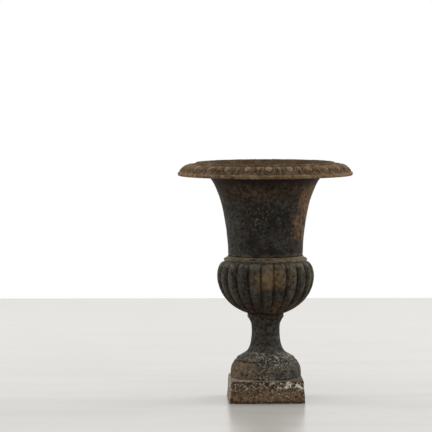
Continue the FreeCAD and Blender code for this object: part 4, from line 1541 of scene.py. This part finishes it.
class URN_OT_stage(bpy.types.Operator):
    """Floor, lights and camera"""
    bl_idname = "urn.stage"
    bl_label = "Stage"

    def execute(self, context):
        stage = context.scene.urn_stage
        self.floor(stage)
        self.lights(stage)
        self.surroundings(context.scene, stage)
        self.camera(context.scene, stage)
        context.scene.view_settings.view_transform = "Standard"
        return {"FINISHED"}

    def floor(self, stage):
        mesh = bpy.data.meshes.new("floor")
        half, back, front = stage.floor_half, stage.floor_back, -stage.floor_front
        mesh.from_pydata([(-half, front, 0), (half, front, 0), (half, back, 0), (-half, back, 0)], [],
                         [(0, 1, 2, 3)])
        mesh.materials.append(self.floor_material(stage))
        floor = new_piece("floor", mesh)
        floor.rotation_euler.z = stage.camera_side

    def floor_material(self, stage):
        """Pale smoothed concrete with faint sweeping marks, and painted light that makes it lighter
        towards its far edge.
        """
        ground = Finish("pale floor", stage.floor_colour, reach=stage.floor_back)
        marks = noise(stretched(ground.place, (6.0, 1.0, 1.0)), 0.16, 101, 5.0, 0.6).ramp(0.40, 0.75)
        ground.lay(marks * 0.55, stage.floor_stain)
        ground.lay(ground.blotches(0.7, 102, 0.40, 0.70) * 0.4, stage.floor_stain)
        # Painted light: the floor lightened towards its far edge
        ground.lay(ground.back.ramp(-0.09, 1.0) * 0.9, stage.floor_far)
        return ground.done(103, rough=(0.20, 0.28), specular=0.18, relief=0.0003, grain=0.12)

    def lights(self, stage):
        for name in ("top", "left", "right", "back"):
            place, side, power = (getattr(stage, name + "_" + what) for what in ("place", "side", "power"))
            self.soft_light(name + " light", place, side, power)

    def soft_light(self, name, place, side, power):
        """Square light that faces the middle of the urn and isn't mirrored in the floor."""
        data = bpy.data.lights.new(name, "AREA")
        data.size = side
        data.energy = power
        light = bpy.data.objects.new(name, data)
        light.visible_glossy = False
        light.location = place
        aim = Vector((0.0, 0.0, CAD_BOX[1][2] / 2)) - light.location
        light.rotation_euler = aim.to_track_quat("-Z", "Y").to_euler()
        bpy.context.scene.collection.objects.link(light)

    def surroundings(self, scene, stage):
        """White to the camera and in reflections, dimmer as light on the urn."""
        scene.world = bpy.data.worlds.new("white room")
        scene.world.use_nodes = True
        tree = scene.world.node_tree
        tree.nodes.clear()
        path = tree.nodes.new("ShaderNodeLightPath")
        rays = [Field(tree, path.outputs[label])
                for label in ("Is Camera Ray", "Is Glossy Ray", "Is Transmission Ray")]
        seen = rays[0].most(rays[1]).most(rays[2])
        light = tree.nodes.new("ShaderNodeBackground")
        light.inputs["Color"].default_value = (1.0, 1.0, 1.0, 1.0)
        put(tree, light.inputs["Strength"], seen * (1.0 - stage.ambient) + stage.ambient)
        leave = tree.nodes.new("ShaderNodeOutputWorld")
        tree.links.new(light.outputs[0], leave.inputs["Surface"])

    def camera(self, scene, stage):
        data = bpy.data.cameras.new("camera")
        data.sensor_width = stage.sensor
        data.lens = stage.lens
        camera = bpy.data.objects.new("camera", data)
        side = stage.camera_side
        camera.location = (stage.camera_distance * math.sin(side), -stage.camera_distance * math.cos(side),
                           stage.camera_height)
        camera.rotation_euler = (math.pi / 2 - stage.camera_pitch, stage.camera_roll,
                                 side + stage.camera_pan)
        scene.collection.objects.link(camera)
        scene.camera = camera


class URN_PT_panel(bpy.types.Panel):
    """Steps that build the urn"""
    bl_idname = "URN_PT_panel"
    bl_label = "Garden urn"
    bl_space_type = "VIEW_3D"
    bl_region_type = "UI"
    bl_category = "Urn"

    def draw(self, context):
        for operator in OPERATORS:
            self.layout.operator(operator.bl_idname)
        for name, group in GROUPS.items():
            header, body = self.layout.panel(name, default_closed=True)
            header.label(text=group.__doc__)
            if body:
                for size in group.__annotations__:
                    body.prop(getattr(context.scene, name), size)


OPERATORS = (URN_OT_rim, URN_OT_bell, URN_OT_bowl, URN_OT_stem, URN_OT_plinth, URN_OT_bedding,
             URN_OT_bolts, URN_OT_tie_rod, URN_OT_stage)
GROUPS = {"urn_rim": UrnRimSizes, "urn_bell": UrnBellSizes, "urn_bowl": UrnBowlSizes,
          "urn_stem": UrnStemSizes, "urn_plinth": UrnPlinthSizes, "urn_fasteners": UrnFastenerSizes,
          "urn_skin": UrnSkin, "urn_colours": UrnColours, "urn_stage": UrnStage}


def register():
    for group in GROUPS.values():
        bpy.utils.register_class(group)
    for name, group in GROUPS.items():
        setattr(bpy.types.Scene, name, bpy.props.PointerProperty(type=group))
    for operator in OPERATORS:
        bpy.utils.register_class(operator)
    bpy.utils.register_class(URN_PT_panel)


def unregister():
    bpy.utils.unregister_class(URN_PT_panel)
    for operator in reversed(OPERATORS):
        bpy.utils.unregister_class(operator)
    for name, group in GROUPS.items():
        delattr(bpy.types.Scene, name)
        bpy.utils.unregister_class(group)


def main():
    register()
    bpy.ops.urn.rim()
    bpy.ops.urn.bell()
    bpy.ops.urn.bowl()
    bpy.ops.urn.stem()
    bpy.ops.urn.plinth()
    bpy.ops.urn.bedding()
    bpy.ops.urn.bolts()
    bpy.ops.urn.tie_rod()
    bpy.ops.urn.stage()


if __name__ == "__main__":
    main()
